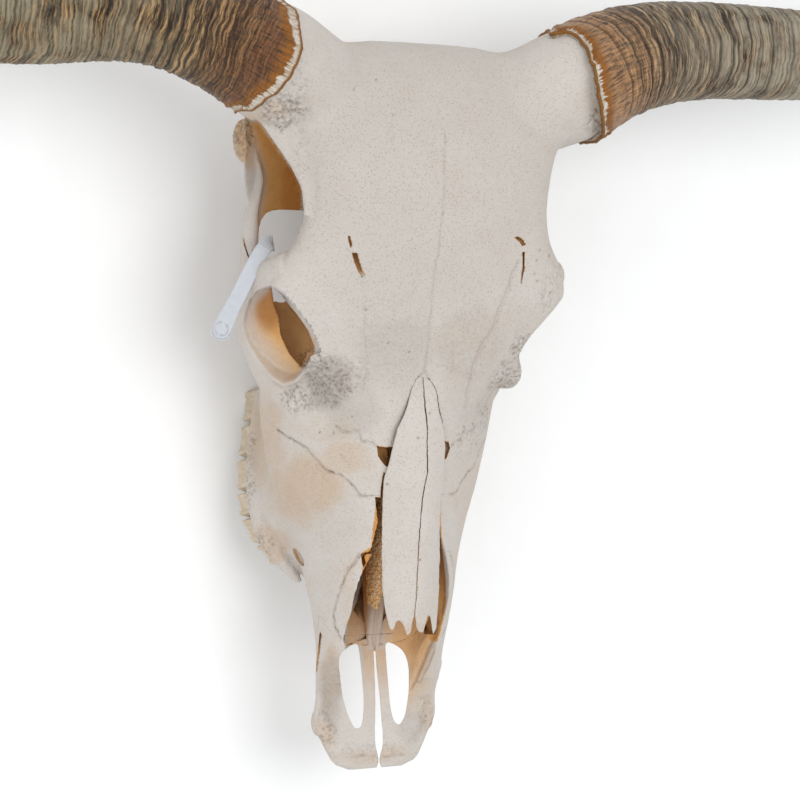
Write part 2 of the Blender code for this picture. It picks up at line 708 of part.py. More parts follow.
def tag_strap():
    points = smooth_rows([(k, *p) for k, p in enumerate(STRAP_PATH)], 0.5)[:, 1:]
    rings = []
    for k, point in enumerate(points):
        along = Vector(points[min(k + 1, len(points) - 1)] - points[max(k - 1, 0)]).normalized()
        across = along.cross(STRAP_FACING).normalized()
        facing = across.cross(along).normalized()
        corners = ((-1, -1), (1, -1), (1, 1), (-1, 1))
        ring = []
        for a, b in corners:
            spot = Vector(point) + across * (a * STRAP_WIDTH / 2) + facing * (b * STRAP_THICKNESS / 2)
            ring.append(spot * MM)
        rings.append(np.array(ring))
    strap = skin_rings("strap", rings)
    end = Vector(points[-1])
    along = (end - Vector(points[-3])).normalized()
    across = along.cross(STRAP_FACING).normalized()
    facing = across.cross(along).normalized()
    sides = 20
    rings = []
    for height in (-STRAP_HEAD[1] / 2, STRAP_HEAD[1] / 2):
        ring = []
        for i in range(sides):
            angle = 2 * math.pi * i / sides
            spot = end + along * (STRAP_HEAD[0] * (math.cos(angle) + 0.3)) + across * (STRAP_HEAD[0] * math.sin(angle))
            ring.append((spot + facing * height) * MM)
        rings.append(np.array(ring))
    stud = skin_rings("stud", rings)
    return combine(strap, [stud], "UNION")


def grown(obj, gap=SEAT_GAP):
    """A copy of the object with its skin moved outwards by the gap."""
    copy = obj.copy()
    copy.data = obj.data.copy()
    copy.name = "grown"
    helpers.objects.link(copy)
    swell = copy.modifiers.new("swell", "DISPLACE")
    swell.strength = gap
    swell.mid_level = 0
    return apply_modifiers(copy)


# Sutures seen from the side, in mm: y and height
MAXILLA_REAR = [
    (187, 300), (187, 160), (190, 150), (204, 140), (211, 134), (221, 125), (234, 114), (250, 100), (268, 85),
    (285, 70), (299, 58), (309, 44), (311, -30),
]
PREMAXILLA_REAR = [
    (160, 300), (158, 128), (151, 118), (140, 105), (122, 85), (112, 75), (103, 68), (93, 55), (88, 44), (80, -20),
]


def place(obj, name, material):
    """Moves a finished bone into the model under its own name."""
    obj.name = name
    obj.data.name = name
    obj.data.materials.clear()
    obj.data.materials.append(material)
    for collection in list(obj.users_collection):
        collection.objects.unlink(obj)
    skull.objects.link(obj)
    return obj


def largest(obj):
    """The object's largest closed surface, in place of the object."""
    parts = loose_parts(obj)
    name = obj.name
    bpy.data.objects.remove(obj)
    for other in parts[1:]:
        bpy.data.objects.remove(other)
    parts[0].name = name
    return parts[0]


def middle_of(obj):
    points = np.array([v.co for v in obj.data.vertices])
    return points.mean(0)


head = fuse_bone("head", head_solids(), head_hollows(), HEAD_TRIANGLES)

small = {"vomer": vomer_bone()}
for side, word in ((-1, "right"), (1, "left")):
    small["nasal_" + word] = nasal_bone("nasal_" + word, side)
    small["concha_" + word] = concha("concha_" + word, side)
small["tag_strap"] = tag_strap()
horns = {"horn_right": horn_sheath("horn_right", -1), "horn_left": horn_sheath("horn_left", 1)}

cutters = [grown(obj) for name, obj in small.items() if not name.startswith("nasal")]
for side in (-1, 1):
    cutters += [horn_seat(side), nasal_bone("nasal_bed", side, SEAT_GAP / MM)]
combine(head, cutters, "DIFFERENCE")
combine(head, [slab("maxilla_cut", MAXILLA_REAR, -140, 140)], "DIFFERENCE")
combine(head, [slab("premaxilla_cut", PREMAXILLA_REAR, -140, 140)], "DIFFERENCE")
pieces = loose_parts(head)
bpy.data.objects.remove(head)


def median_cut():
    """The thin cut between the left and right halves of the jaw."""
    half = SUTURE_GAP / 2
    corners = [(x, y * MM, z * MM) for x in (-half, half) for y in (-40, 330) for z in (-40, 260)]
    faces = [(0, 1, 3, 2), (4, 6, 7, 5), (0, 4, 5, 1), (2, 3, 7, 6), (0, 2, 6, 4), (1, 5, 7, 3)]
    return face_outwards(add_mesh("median_cut", corners, faces))


def sort_bones(pieces):
    """Names the parted pieces by where their middles lie. Crumbs are dropped."""
    bones = {}
    for piece in pieces:
        x, y, z = middle_of(piece) / MM
        if len(piece.data.polygons) < 120:
            bpy.data.objects.remove(piece)
            continue
        bone = "cranium" if y > 290 else "maxilla" if y > 125 else "premaxilla"
        if bone != "cranium" and abs(x) < 8:
            combine(piece, [median_cut()], "DIFFERENCE")
            halves = loose_parts(piece)
            bpy.data.objects.remove(piece)
            bones.update(sort_bones(halves))
            continue
        if bone != "cranium":
            bone += "_right" if x < 0 else "_left"
        if bone in bones:
            bpy.data.objects.remove(piece)
            continue
        bones[bone] = piece
    return bones


bones = sort_bones(pieces)
bones.update(small)
bones.update(horns)


def lowest(points, angle):
    """Height of the lowest of the points, given as y and z, when the head tips back by angle."""
    return float((points[:, 1] * math.cos(angle) - points[:, 0] * math.sin(angle)).min())


def settle(bones):
    """Tips the head back until teeth and occiput stand level, then drops it onto the floor."""
    tooth_points, nape_points = [], []
    for obj in bones.values():
        points = np.array([v.co for v in obj.data.vertices])[:, 1:]
        tooth_points.append(points[points[:, 0] < 330 * MM])
        nape_points.append(points[points[:, 0] > 420 * MM])
    teeth, nape = np.vstack(tooth_points), np.vstack(nape_points)
    low, high = 0.0, math.radians(40)
    for _ in range(40):
        angle = (low + high) / 2
        if lowest(teeth, angle) < lowest(nape, angle):
            low = angle
        else:
            high = angle
    turn = Matrix.Rotation(-angle, 4, "X")
    floor = lowest(teeth, angle) + FLOOR_WEAR
    return Matrix.Translation((0, 0, -floor)) @ turn


def floor_block():
    corners = [(x, y, z) for x in (-1.2, 1.2) for y in (-1.2, 1.2) for z in (-0.3, 0)]
    faces = [(0, 1, 3, 2), (4, 6, 7, 5), (0, 4, 5, 1), (2, 3, 7, 6), (0, 2, 6, 4), (1, 5, 7, 3)]
    return face_outwards(add_mesh("floor_block", corners, faces))


pose = settle(bones)
for obj in bones.values():
    obj.data.transform(pose)
for name in list(bones):
    heights = [v.co.z for v in bones[name].data.vertices]
    if min(heights) < 0:
        combine(bones[name], [floor_block()], "DIFFERENCE")
        bones[name] = largest(bones[name])

# The origin lies on the floor under the middle of the bounding box
cloud = np.vstack([np.array([v.co for v in obj.data.vertices]) for obj in bones.values()])
middle = (cloud.min(0) + cloud.max(0)) / 2
centring = Matrix.Translation((-middle[0], -middle[1], 0))
pose = centring @ pose
for name, obj in bones.items():
    obj.data.transform(centring)
    material = KERATIN if name.startswith("horn") else CAVITY_BONE if name.startswith("concha") else BONE
    place(obj, name, TAG_PLASTIC if name == "tag_strap" else material)
    if name.startswith(("horn", "cranium")):
        obj.data.shade_smooth()

resting_pose = bpy.data.objects.new("resting_pose", None)
resting_pose.matrix_world = pose
skull.objects.link(resting_pose)
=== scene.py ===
# %% [markdown]
# # A longhorn skull with its horn sheaths
# The CAD model already gives every bone its size and place. Here the same bones are built again
# on a much finer grid, and get what a plain solid can't carry: jagged sutures, pores, broken
# edges, brown hollows, separate teeth, and the flaking rim where each horn sheath sits on bone.

# %% Load the frame
import json
import math

import bpy
import numpy as np
from mathutils import Matrix, Vector
from mathutils.bvhtree import BVHTree
from mathutils.kdtree import KDTree

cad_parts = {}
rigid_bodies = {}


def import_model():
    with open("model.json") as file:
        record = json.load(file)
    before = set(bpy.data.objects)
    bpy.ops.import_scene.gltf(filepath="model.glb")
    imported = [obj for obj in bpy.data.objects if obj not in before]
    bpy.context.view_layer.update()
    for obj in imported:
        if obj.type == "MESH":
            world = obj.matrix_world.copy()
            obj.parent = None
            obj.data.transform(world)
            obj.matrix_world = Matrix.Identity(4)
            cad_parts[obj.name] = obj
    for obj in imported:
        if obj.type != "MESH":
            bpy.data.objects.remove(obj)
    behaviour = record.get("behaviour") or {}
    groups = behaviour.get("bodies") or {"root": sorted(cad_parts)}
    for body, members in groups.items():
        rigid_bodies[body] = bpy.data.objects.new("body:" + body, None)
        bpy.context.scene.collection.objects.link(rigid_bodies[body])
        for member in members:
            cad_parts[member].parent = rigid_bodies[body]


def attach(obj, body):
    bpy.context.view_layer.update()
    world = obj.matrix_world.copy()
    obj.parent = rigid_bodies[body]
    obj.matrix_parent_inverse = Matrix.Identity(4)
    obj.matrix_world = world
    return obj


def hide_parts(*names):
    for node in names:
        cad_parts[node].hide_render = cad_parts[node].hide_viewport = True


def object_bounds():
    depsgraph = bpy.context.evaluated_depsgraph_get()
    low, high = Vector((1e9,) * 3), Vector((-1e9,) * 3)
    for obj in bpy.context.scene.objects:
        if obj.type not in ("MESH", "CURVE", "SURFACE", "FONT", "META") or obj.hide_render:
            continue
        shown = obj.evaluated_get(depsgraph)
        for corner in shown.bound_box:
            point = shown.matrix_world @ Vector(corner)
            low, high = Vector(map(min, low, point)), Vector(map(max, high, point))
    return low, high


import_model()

CAD_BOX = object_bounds()
print("CAD box in metres:", CAD_BOX)

# %% [markdown]
# ## Head frame and resting pose
# A skull is easiest to describe in its own frame: X to the animal's left, Y from the tip of the
# muzzle back to the poll, Z up from the cheek teeth, all in millimetres. One matrix at the end
# tips it back onto its last molars and occiput, as the CAD model lies, and turns it to metres.

# %% The matrix from head frame to floor
MM = 0.001
TIP_BACK = math.radians(-16.957270)
MOVE = (-0.000135, -0.334674, 0.084974)  # metres
POSE = Matrix.Translation(MOVE) @ Matrix.Rotation(TIP_BACK, 4, "X") @ Matrix.Scale(MM, 4)

work = bpy.data.collections.new("work")
dressed = bpy.data.collections.new("dressed_skull")
for collection in (work, dressed):
    bpy.context.scene.collection.children.link(collection)
work.hide_render = True
print("tipped back by", round(-math.degrees(TIP_BACK), 2), "degrees")

# %% [markdown]
# ## The camera comes early
# The photograph was taken from in front and above. With the camera's numbers known, a crack or a
# hole can be named by where it shows in the picture, and a line through that spot finds the bone.

# %% Camera numbers and the way between bone and picture
IMAGE_SIDE = 800
FOCAL = 2098.67  # pixels
CAMERA_TURN = (math.radians(-10.34378), math.radians(23.51714), math.radians(4.53712))
CAMERA_OFFSET = np.array([5.658, -0.350, -1552.02])
AIM = np.array([0.0, 260.0, 150.0])

turn_x = Matrix.Rotation(CAMERA_TURN[0], 3, "X")
turn_y = Matrix.Rotation(CAMERA_TURN[1], 3, "Y")
turn_z = Matrix.Rotation(CAMERA_TURN[2], 3, "Z")
TURN = np.array(turn_z @ turn_x @ turn_y)
EYE = AIM - TURN.T @ CAMERA_OFFSET
FACE_DISTANCE = float(np.linalg.norm(EYE - AIM))  # from the lens to the middle of the face, in mm


def to_picture(points):
    """Pixel coordinates and distance along the view, in mm, of points in the head frame."""
    seen = (points - AIM) @ TURN.T + CAMERA_OFFSET
    depth = -seen[:, 2]
    pixels = IMAGE_SIDE / 2 + FOCAL * seen[:, :2] * (1, -1) / depth[:, None]
    return pixels, depth


def view_line(u, v):
    """Direction from the camera through a pixel, one mm deep for each unit of length."""
    half = IMAGE_SIDE / 2
    return TURN.T @ np.array([(u - half) / FOCAL, (half - v) / FOCAL, -1.0])


print("camera stands", round(FACE_DISTANCE), "mm from the middle of the face")

# %% [markdown]
# ## Noise
# Bone is never smooth. This value noise gives each point in space a random height, blended
# between the corners of a grid, so a lump has the size that is asked for in millimetres.

# %% Noise helpers


GRID_SHIFT = 4096.5  # keeps every grid cell's number above 0


def scatter(place, seed):
    """A large whole number for each grid corner, the same on every run."""
    code = place[:, 0] * 73856093 ^ place[:, 1] * 19349663 ^ place[:, 2] * 83492791
    return code ^ (seed + 1) * 374761393


def stir(code):
    return (code ^ (code >> 13)) * 1274126177


def low_bits(code):
    """A whole number from 0 to 65535."""
    return (code ^ (code >> 16)) & 65535


def noise(points, size, seed=0):
    """Smooth noise between -1 and 1 with lumps about size mm across."""
    scaled = np.asarray(points, float) / size + GRID_SHIFT
    cell = np.floor(scaled).astype(np.int64)
    share = scaled - cell
    share = share * share * (3 - 2 * share)
    total = np.zeros(len(cell))
    for corner in range(8):
        bits = np.array([corner & 1, (corner >> 1) & 1, corner >> 2])
        value = low_bits(stir(scatter(cell + bits, seed))) / 32767.5 - 1
        total += value * np.where(bits, share, 1 - share).prod(1)
    return total


def rough(points, size, seed=0, layers=3):
    """Several layers of noise, each half the size and half the strength of the last."""
    return sum(noise(points, size / 2**k, seed + k) / 2**k for k in range(layers))


def cells(points, size, seed=0):
    """Distance to the nearest of scattered cell middles, in units of size: 0 in a cell's middle."""
    scaled = np.asarray(points, float) / size + GRID_SHIFT
    cell = np.floor(scaled).astype(np.int64)
    best = np.full(len(cell), 9.0)
    for step in range(27):
        place = cell + np.array([step % 3 - 1, step // 3 % 3 - 1, step // 9 - 1])
        code = scatter(place, seed)
        away = np.zeros(len(cell))
        for axis in range(3):
            code = stir(code)
            middle = place[:, axis] + low_bits(code) / 65536
            away += (scaled[:, axis] - middle) ** 2
        best = np.minimum(best, away)
    return np.sqrt(best)


def ease(values, low, high):
    """0 below low, 1 above high and a smooth step between."""
    share = np.clip((values - low) / (high - low), 0, 1)
    return share * share * (3 - 2 * share)


def ridge(values, middle, width):
    """A rounded ridge: 1 where values are at its middle, near 0 two widths away."""
    return np.exp(-(((values - middle) / width) ** 2))


print("noise ready")

# %% [markdown]
# ## Shape helpers
# Three tools make nearly all of the bone. A loft skins rings across the head, a sweep runs a bar
# along a path, and an ellipsoid makes a knob. Rows between the given ones follow a smooth curve.

# %% Lofts, sweeps and knobs


def add_mesh(name, vertices, faces):
    mesh = bpy.data.meshes.new(name)
    mesh.from_pydata([tuple(v) for v in vertices], [], faces)
    obj = bpy.data.objects.new(name, mesh)
    work.objects.link(obj)
    return obj


def volume(obj):
    """Signed volume of a closed mesh: below 0 when its faces point inwards."""
    mesh = obj.data
    mesh.calc_loop_triangles()
    points = np.empty(len(mesh.vertices) * 3)
    mesh.vertices.foreach_get("co", points)
    corners = np.empty(len(mesh.loop_triangles) * 3, np.int32)
    mesh.loop_triangles.foreach_get("vertices", corners)
    a, b, c = points.reshape(-1, 3)[corners.reshape(-1, 3)].transpose(1, 0, 2)
    return float((np.cross(a, b) * c).sum() / 6)


def face_outwards(obj):
    if volume(obj) < 0:
        obj.data.flip_normals()
    return obj


def smooth_rows(rows, step):
    """Rows of numbers keyed by their first column, filled in every step along a monotone cubic."""
    rows = np.array(rows, float)
    rows = rows[np.argsort(rows[:, 0])]
    keys = rows[:, 0]
    count = max(2, int(round((keys[-1] - keys[0]) / step)) + 1)
    at = np.linspace(keys[0], keys[-1], count)
    slopes = np.diff(rows, axis=0) / np.diff(keys)[:, None]
    tangents = np.vstack([slopes[:1], (slopes[1:] + slopes[:-1]) / 2, slopes[-1:]])
    tangents[1:-1][slopes[1:] * slopes[:-1] <= 0] = 0
    index = np.clip(np.searchsorted(keys, at, side="right") - 1, 0, len(keys) - 2)
    span = (keys[index + 1] - keys[index])[:, None]
    t = (at - keys[index])[:, None] / span
    start, end = rows[index], rows[index + 1]
    leave, arrive = tangents[index] * span, tangents[index + 1] * span
    weights = (2 * t**3 - 3 * t**2 + 1, t**3 - 2 * t**2 + t, -2 * t**3 + 3 * t**2, t**3 - t**2)
    return weights[0] * start + weights[1] * leave + weights[2] * end + weights[3] * arrive


def skin_rings(name, rings, closed=False):
    """A closed solid through rings of equal length, with flat ends, or joined end to start."""
    rings = np.array(rings)
    count, sides = rings.shape[:2]
    grid = np.arange(count * sides).reshape(count, sides)
    if closed:
        grid = np.vstack([grid, grid[:1]])
    near, far = grid[:-1], grid[1:]
    quads = np.stack([near, np.roll(near, -1, 1), np.roll(far, -1, 1), far], 2).reshape(-1, 4)
    faces = quads.tolist()
    if not closed:
        faces += [grid[0][::-1].tolist(), grid[-1].tolist()]
    return face_outwards(add_mesh(name, rings.reshape(-1, 3), faces))


def loft(name, rows, step=6, sides=56):
    """Rows in mm: y, half width, top, bottom, squareness, flare."""
    angles = 2 * math.pi * (np.arange(sides) + 0.5) / sides
    c, s = np.cos(angles), np.sin(angles)
    rings = []
    for y, half_width, top, bottom, squareness, flare in smooth_rows(rows, step):
        x = np.sign(c) * np.abs(c) ** (2 / squareness)
        z = np.sign(s) * np.abs(s) ** (2 / squareness)
        height = (top + bottom) / 2 + (top - bottom) / 2 * z
        rings.append(np.column_stack([half_width * x * (1 + flare * z), np.full(sides, y), height]))
    return skin_rings(name, rings)


def path_frames(centres, up, closed=False):
    """Two directions across a path at each of its points."""
    if closed:
        along = np.roll(centres, -1, 0) - np.roll(centres, 1, 0)
    else:
        along = np.gradient(centres, axis=0)
    along /= np.linalg.norm(along, axis=1)[:, None]
    across = np.cross(along, up)
    across /= np.linalg.norm(across, axis=1)[:, None]
    return along, across, np.cross(across, along)


def sweep(name, rows, side=1, sides=20, step=4, lie=(0, 0, 1)):
    """A bar of elliptical section. Rows in mm: x, y, z, half thickness, half height along lie."""
    rows = np.array(rows, float)
    lengths = np.linalg.norm(np.diff(rows[:, :3], axis=0), axis=1)
    keyed = np.column_stack([np.concatenate([[0], np.cumsum(lengths)]), rows])
    filled = smooth_rows(keyed, step)[:, 1:]
    centres = filled[:, :3] * (side, 1, 1)
    _, across, height = path_frames(centres, np.array(lie, float) * (side, 1, 1))
    angles = 2 * math.pi * np.arange(sides) / sides
    rings = []
    for centre, a, h, (thick, tall) in zip(centres, across, height, filled[:, 3:5]):
        rings.append(centre + np.outer(thick * np.cos(angles), a) + np.outer(tall * np.sin(angles), h))
    return skin_rings(name, rings)


def ellipsoid(name, centre, radii, turn=(0, 0, 0), side=1, rings=24):
    """Centre and radii in mm, turn in degrees about X, Y and Z."""
    latitudes = np.linspace(0.04, math.pi - 0.04, rings)
    longitudes = 2 * math.pi * np.arange(2 * rings) / (2 * rings)
    ball = [
        np.column_stack([np.cos(longitudes) * math.sin(a), np.sin(longitudes) * math.sin(a),
                         np.full(2 * rings, math.cos(a))]) for a in latitudes
    ]
    angles = [math.radians(a) for a in turn]
    rotation = Matrix.Rotation(angles[2], 3, "Z") @ Matrix.Rotation(angles[1], 3, "Y")
    rotation = np.array(rotation @ Matrix.Rotation(angles[0], 3, "X"))
    placed = [(np.array(centre) + (ring * radii) @ rotation.T) * (side, 1, 1) for ring in ball]
    return skin_rings(name, placed)


print("shape helpers ready")

# %% [markdown]
# ## Boolean helpers
# A modifier stays live until its result is read back from the evaluated mesh. The MANIFOLD
# solver is the quick one, and takes a whole collection of cutters in one go.

# %% Joining, cutting and parting


def apply_modifiers(obj):
    """Puts the evaluated mesh in place of the object's own one and drops its modifiers."""
    bpy.context.view_layer.update()
    graph = bpy.context.evaluated_depsgraph_get()
    mesh = bpy.data.meshes.new_from_object(obj.evaluated_get(graph))
    obj.modifiers.clear()
    obj.data = mesh
    return face_outwards(obj)


def combine(base, others, operation):
    """One Boolean of base with every object in others, applied, after which the others go."""
    group = bpy.data.collections.new("operands")
    bpy.context.scene.collection.children.link(group)
    for other in others:
        group.objects.link(other)
    boolean = base.modifiers.new("combine", "BOOLEAN")
    boolean.operation = operation
    boolean.operand_type = "COLLECTION"
    boolean.collection = group
    boolean.solver = "MANIFOLD"
    apply_modifiers(base)
    for other in others:
        bpy.data.objects.remove(other)
    bpy.data.collections.remove(group)
    return base


def one_skin(obj, voxel, passes=4):
    """Rebuilds the surface on an even grid and rounds off its steps."""
    remesh = obj.modifiers.new("one_skin", "REMESH")
    remesh.mode = "VOXEL"
    remesh.voxel_size = voxel
    soften = obj.modifiers.new("soften", "SMOOTH")
    soften.factor = 0.5
    soften.iterations = passes
    return apply_modifiers(obj)


def loose_parts(obj):
    """The object's separate closed surfaces, as objects of their own, largest first."""
    bpy.ops.object.select_all(action="DESELECT")
    bpy.context.view_layer.objects.active = obj
    obj.select_set(True)
    before = set(work.objects)
    bpy.ops.mesh.separate(type="LOOSE")
    parts = [obj] + [o for o in work.objects if o not in before]
    return sorted(parts, key=lambda part: len(part.data.polygons), reverse=True)


def read_points(obj):
    points = np.empty(len(obj.data.vertices) * 3)
    obj.data.vertices.foreach_get("co", points)
    return points.reshape(-1, 3)


def read_normals(obj):
    normals = np.empty(len(obj.data.vertices) * 3, np.float32)
    obj.data.vertex_normals.foreach_get("vector", normals)
    return normals.reshape(-1, 3).astype(float)


def write_points(obj, points):
    obj.data.vertices.foreach_set("co", points.ravel())
    obj.data.update()


def tree_of(obj):
    return BVHTree.FromPolygons([v.co for v in obj.data.vertices], [p.vertices for p in obj.data.polygons])


print("Boolean helpers ready")

# %% [markdown]
# ## The braincase, forehead and cheeks
# The back of the skull is a broad arched forehead over a small braincase. Round it stand the eye
# sockets, the thin bar behind each eye, and the cheek arch that runs back to the ear.

# %% Solids of the back of the head
PROFILE = [
    (-10, 40), (60, 116), (98, 128), (141, 144), (183, 160), (225, 171), (272, 181), (301, 199),
    (347, 225), (366, 233), (393, 244), (433, 252), (470, 250), (500, 240), (515, 224),
]
PROFILE_FINE = smooth_rows(PROFILE, 2)


def midline(y):
    """Height of the head's upper midline at y."""
    return np.interp(y, PROFILE_FINE[:, 0], PROFILE_FINE[:, 1])


def forehead():
    widths = [
        (508, 60, 20, 2.4), (501, 88, 34, 2.6), (486, 102, 46, 2.7), (462, 108, 52, 2.7),
        (433, 102, 55, 2.6), (410, 95, 58, 2.6), (393, 93, 60, 2.6), (366, 99, 62, 2.5),
        (347, 112, 66, 2.4), (332, 116, 64, 2.4), (318, 111, 56, 2.4), (301, 98, 50, 2.3),
        (286, 86, 46, 2.2), (268, 68, 44, 2.2), (246, 48, 40, 2.2),
    ]
    sink = smooth_rows([(240, 5), (262, 2), (285, 0), (520, 0)], 2)
    rows = []
    for y, half_width, deep, squareness in widths:
        top = midline(y) - np.interp(y, sink[:, 0], sink[:, 1])
        rows.append((y, half_width, top, top - deep, squareness, 0.04))
    return loft("forehead", rows, sides=80)


def braincase():
    return loft("braincase", [
        (500, 56, 226, 122, 2.6, 0), (490, 66, 232, 100, 2.5, 0), (465, 72, 236, 92, 2.4, 0),
        (430, 64, 236, 88, 2.3, 0), (395, 50, 230, 84, 2.3, 0.05), (360, 38, 215, 80, 2.3, 0.1),
        (325, 36, 200, 66, 2.4, 0.1), (295, 36, 180, 52, 2.6, 0),
    ])


def nuchal_plate():
    return loft("nuchal_plate", [
        (502, 70, 232, 118, 2.8, 0.1), (495, 90, 238, 114, 2.8, 0.05), (478, 104, 232, 112, 2.8, 0),
        (464, 109, 222, 118, 2.8, -0.04), (452, 101, 206, 124, 2.8, -0.06), (440, 84, 190, 128, 2.6, -0.1),
    ])


ORBIT_EDGE = [
    (114, 336, 184), (117, 338, 165), (118, 334, 150), (118, 327, 138), (116, 320, 128), (112, 309, 123),
    (105, 298, 122), (97, 285, 124), (90, 277, 131), (86, 276, 141), (83, 282, 153), (80, 288, 164),
    (78, 296, 174), (84, 308, 181), (93, 318, 185), (105, 330, 188),
]
ORBIT_FACING = np.array([0.74, -0.62, 0.27]) / np.linalg.norm([0.74, -0.62, 0.27])


def orbit_solid(name, layers, side):
    """Rings shaped like the orbit's edge: each layer is a depth, a share of its size and a margin."""
    edge = np.array(ORBIT_EDGE, float)
    middle = edge.mean(0)
    out = edge - middle
    length = np.linalg.norm(out, axis=1)[:, None]
    rings = []
    for depth, share, margin in layers:
        ring = middle + out * (share + margin / length) - ORBIT_FACING * depth
        rings.append(ring * (side, 1, 1))
    return skin_rings(name, rings)


def orbit_cup(side):
    layers = [(-1, 1.0, 3.6), (10, 1.0, 4.5), (26, 0.9, 5), (44, 0.62, 5), (54, 0.4, 2)]
    return orbit_solid("orbit_cup", layers, side)


def orbit_socket(side):
    layers = [(-40, 1.25, 0), (-1, 1.0, 0), (10, 1.0, 0.5), (26, 0.88, 0), (42, 0.6, 0), (50, 0.3, 0)]
    return orbit_solid("orbit_socket", layers, side)


def cheek_solids(side):
    """Cheek arch, bar behind the eye, jaw joint, ear and the knobs round the neck joint."""
    arch = [
        (60, 226, 82, 10, 14), (74, 254, 90, 10, 15), (87, 277, 104, 8, 17), (101, 297, 112, 5.5, 15),
        (112, 321, 120, 5, 12), (113.5, 346, 130, 5.5, 12), (110.5, 374, 135, 6, 11),
        (108.5, 398, 138, 5.4, 10), (103, 420, 141, 4.8, 9), (101.5, 431, 142, 4.8, 9),
        (104, 446, 142, 6.5, 10), (105, 461, 141, 8, 13),
    ]
    bar = [
        (104, 346, 196, 11, 13), (112, 346, 185, 7, 11), (117, 347, 166, 5, 9),
        (118, 344, 148, 5, 9.5), (114, 342, 134, 6, 13),
    ]
    nape_process = [
        (58, 470, 118, 14, 16), (60, 466, 94, 10, 13), (59, 461, 70, 7, 10), (57, 457, 52, 5, 7),
    ]
    wing = [
        (27, 392, 92, 4, 12), (27, 365, 84, 3.5, 22), (26, 335, 78, 3.5, 26), (27, 305, 70, 5, 28),
        (30, 288, 56, 8, 22),
    ]
    return [
        sweep("zygomatic_arch", arch, side),
        sweep("postorbital_bar", bar, side, lie=(0, 1, 0)),
        sweep("paracondylar_process", nape_process, side, lie=(0, 1, 0)),
        sweep("pterygoid_plate", wing, side),
        ellipsoid("jaw_joint_shelf", (66, 427, 122), (29, 26, 10), (6, 0, 0), side),
        ellipsoid("ear_block", (72, 453, 124), (30, 16, 22), (0, 0, 0), side),
        ellipsoid("ear_knob", (111, 457, 143), (9, 17, 11), (0, 0, 0), side),
        ellipsoid("condyle", (27, 488, 112), (18, 19, 25), (24, 0, -18), side),
        ellipsoid("tympanic_bulla", (44, 428, 84), (14, 18, 22), (0, 0, 0), side),
    ]


print("midline reaches", float(PROFILE_FINE[:, 1].max()), "mm above the cheek teeth")

# %% [markdown]
# ## The face and muzzle
# The upper jaw is a deep wedge that narrows to two flat premaxillae. A toothed ridge runs under
# each cheek. The nose is cut out of it afterwards, because a hollow is easier to cut than to lay.

# %% Solids and hollows of the front of the head


def face():
    return loft("face", [
        (322, 74, 196, 44, 2.2, -0.05), (300, 88, 196, 36, 2.1, -0.12), (278, 91, 183, 34, 2.1, -0.2),
        (255, 88, 174, 34, 2.1, -0.24), (228, 82, 164, 34, 2.1, -0.28), (200, 74, 155, 34, 2.2, -0.3),
        (178, 66, 149, 34, 2.2, -0.3), (150, 58, 141, 34, 2.3, -0.28), (120, 53, 130, 36, 2.3, -0.24),
        (100, 51, 112, 37, 2.3, -0.2), (80, 50, 88, 38, 2.4, -0.12), (60, 50, 66, 38, 2.6, -0.05),
    ], sides=72)


def muzzle_tip():
    return loft("muzzle_tip", [
        (72, 51, 76, 37, 2.6, 0), (50, 49, 55, 34, 2.8, 0), (35, 51, 46, 31, 2.8, 0),
        (20, 44, 42, 28, 2.8, 0), (8, 38, 40, 27, 3.0, 0), (0, 32, 38, 28, 3.0, 0), (-4, 22, 35, 30, 2.6, 0),
    ], step=4)


def alveolar_ridge(side):
    return sweep("alveolar_ridge", [
        (38, 136, 49, 2, 5), (43, 147, 46, 8, 14), (52, 165, 45, 11, 16), (62, 185, 45, 13, 18),
        (67, 206, 46, 13, 20), (67, 230, 47, 13, 20), (63, 257, 48, 13, 20), (58, 285, 50, 13, 20),
        (54, 304, 53, 11, 18),
    ], side)


def alveolar_edge(side):
    """The rough outer lip of the tooth sockets."""
    return sweep("alveolar_edge", [
        (54, 140, 42, 2, 3), (62, 152, 37, 5, 8), (74, 172, 35, 7, 9), (80, 192, 33, 7, 10),
        (81.5, 212, 32, 7, 10), (80, 236, 32, 7, 10), (76, 262, 33, 7, 10), (70, 286, 35, 7, 10),
        (62, 304, 38, 6, 9),
    ], side)


def nose_hollows():
    cavity = loft("nasal_cavity", [
        (258, 12, 158, 124, 2.4, 0), (235, 22, 150, 74, 2.6, 0), (200, 33, 145, 52, 2.8, -0.1),
        (150, 37, 139, 48, 2.8, -0.15), (120, 38, 124, 47, 2.8, -0.12), (100, 36, 116, 48, 2.8, 0),
        (85, 31, 104, 48, 2.8, 0), (70, 29, 94, 49, 2.8, 0), (56, 27, 84, 50, 2.8, 0),
        (45, 24, 74, 50, 2.6, 0), (33, 19, 66, 49, 2.4, 0), (22, 10, 60, 49, 2.4, 0),
    ])
    slot = loft("nasal_roof_opening", [
        (256, 3, 230, 150, 4, 0), (245, 7, 230, 140, 4, 0), (224, 14, 220, 130, 4, 0),
        (190, 20, 210, 110, 4, 0), (160, 23, 200, 100, 4, 0), (148, 30, 200, 96, 4, 0),
        (130, 37, 200, 88, 4, 0), (115, 39, 180, 80, 4, 0), (100, 39, 140, 70, 3.6, 0.1),
        (85, 38, 112, 58, 3.4, 0.2), (70, 37, 100, 53, 3.2, 0.25), (50, 33, 86, 49, 3, 0.28),
        (35, 26, 76, 46, 3, 0.3), (24, 14, 70, 45, 3, 0.3),
    ])
    throat = loft("choana", [
        (420, 17, 84, 40, 2.6, 0), (380, 20, 96, 40, 2.6, 0), (345, 21, 104, 40, 2.6, 0),
        (310, 20, 100, 44, 2.6, 0), (300, 12, 90, 50, 2.4, 0),
    ])
    neck_hole = ellipsoid("foramen_magnum", (0, 492, 138), (19, 62, 18), (8, 0, 0))
    return [cavity, slot, throat, neck_hole]


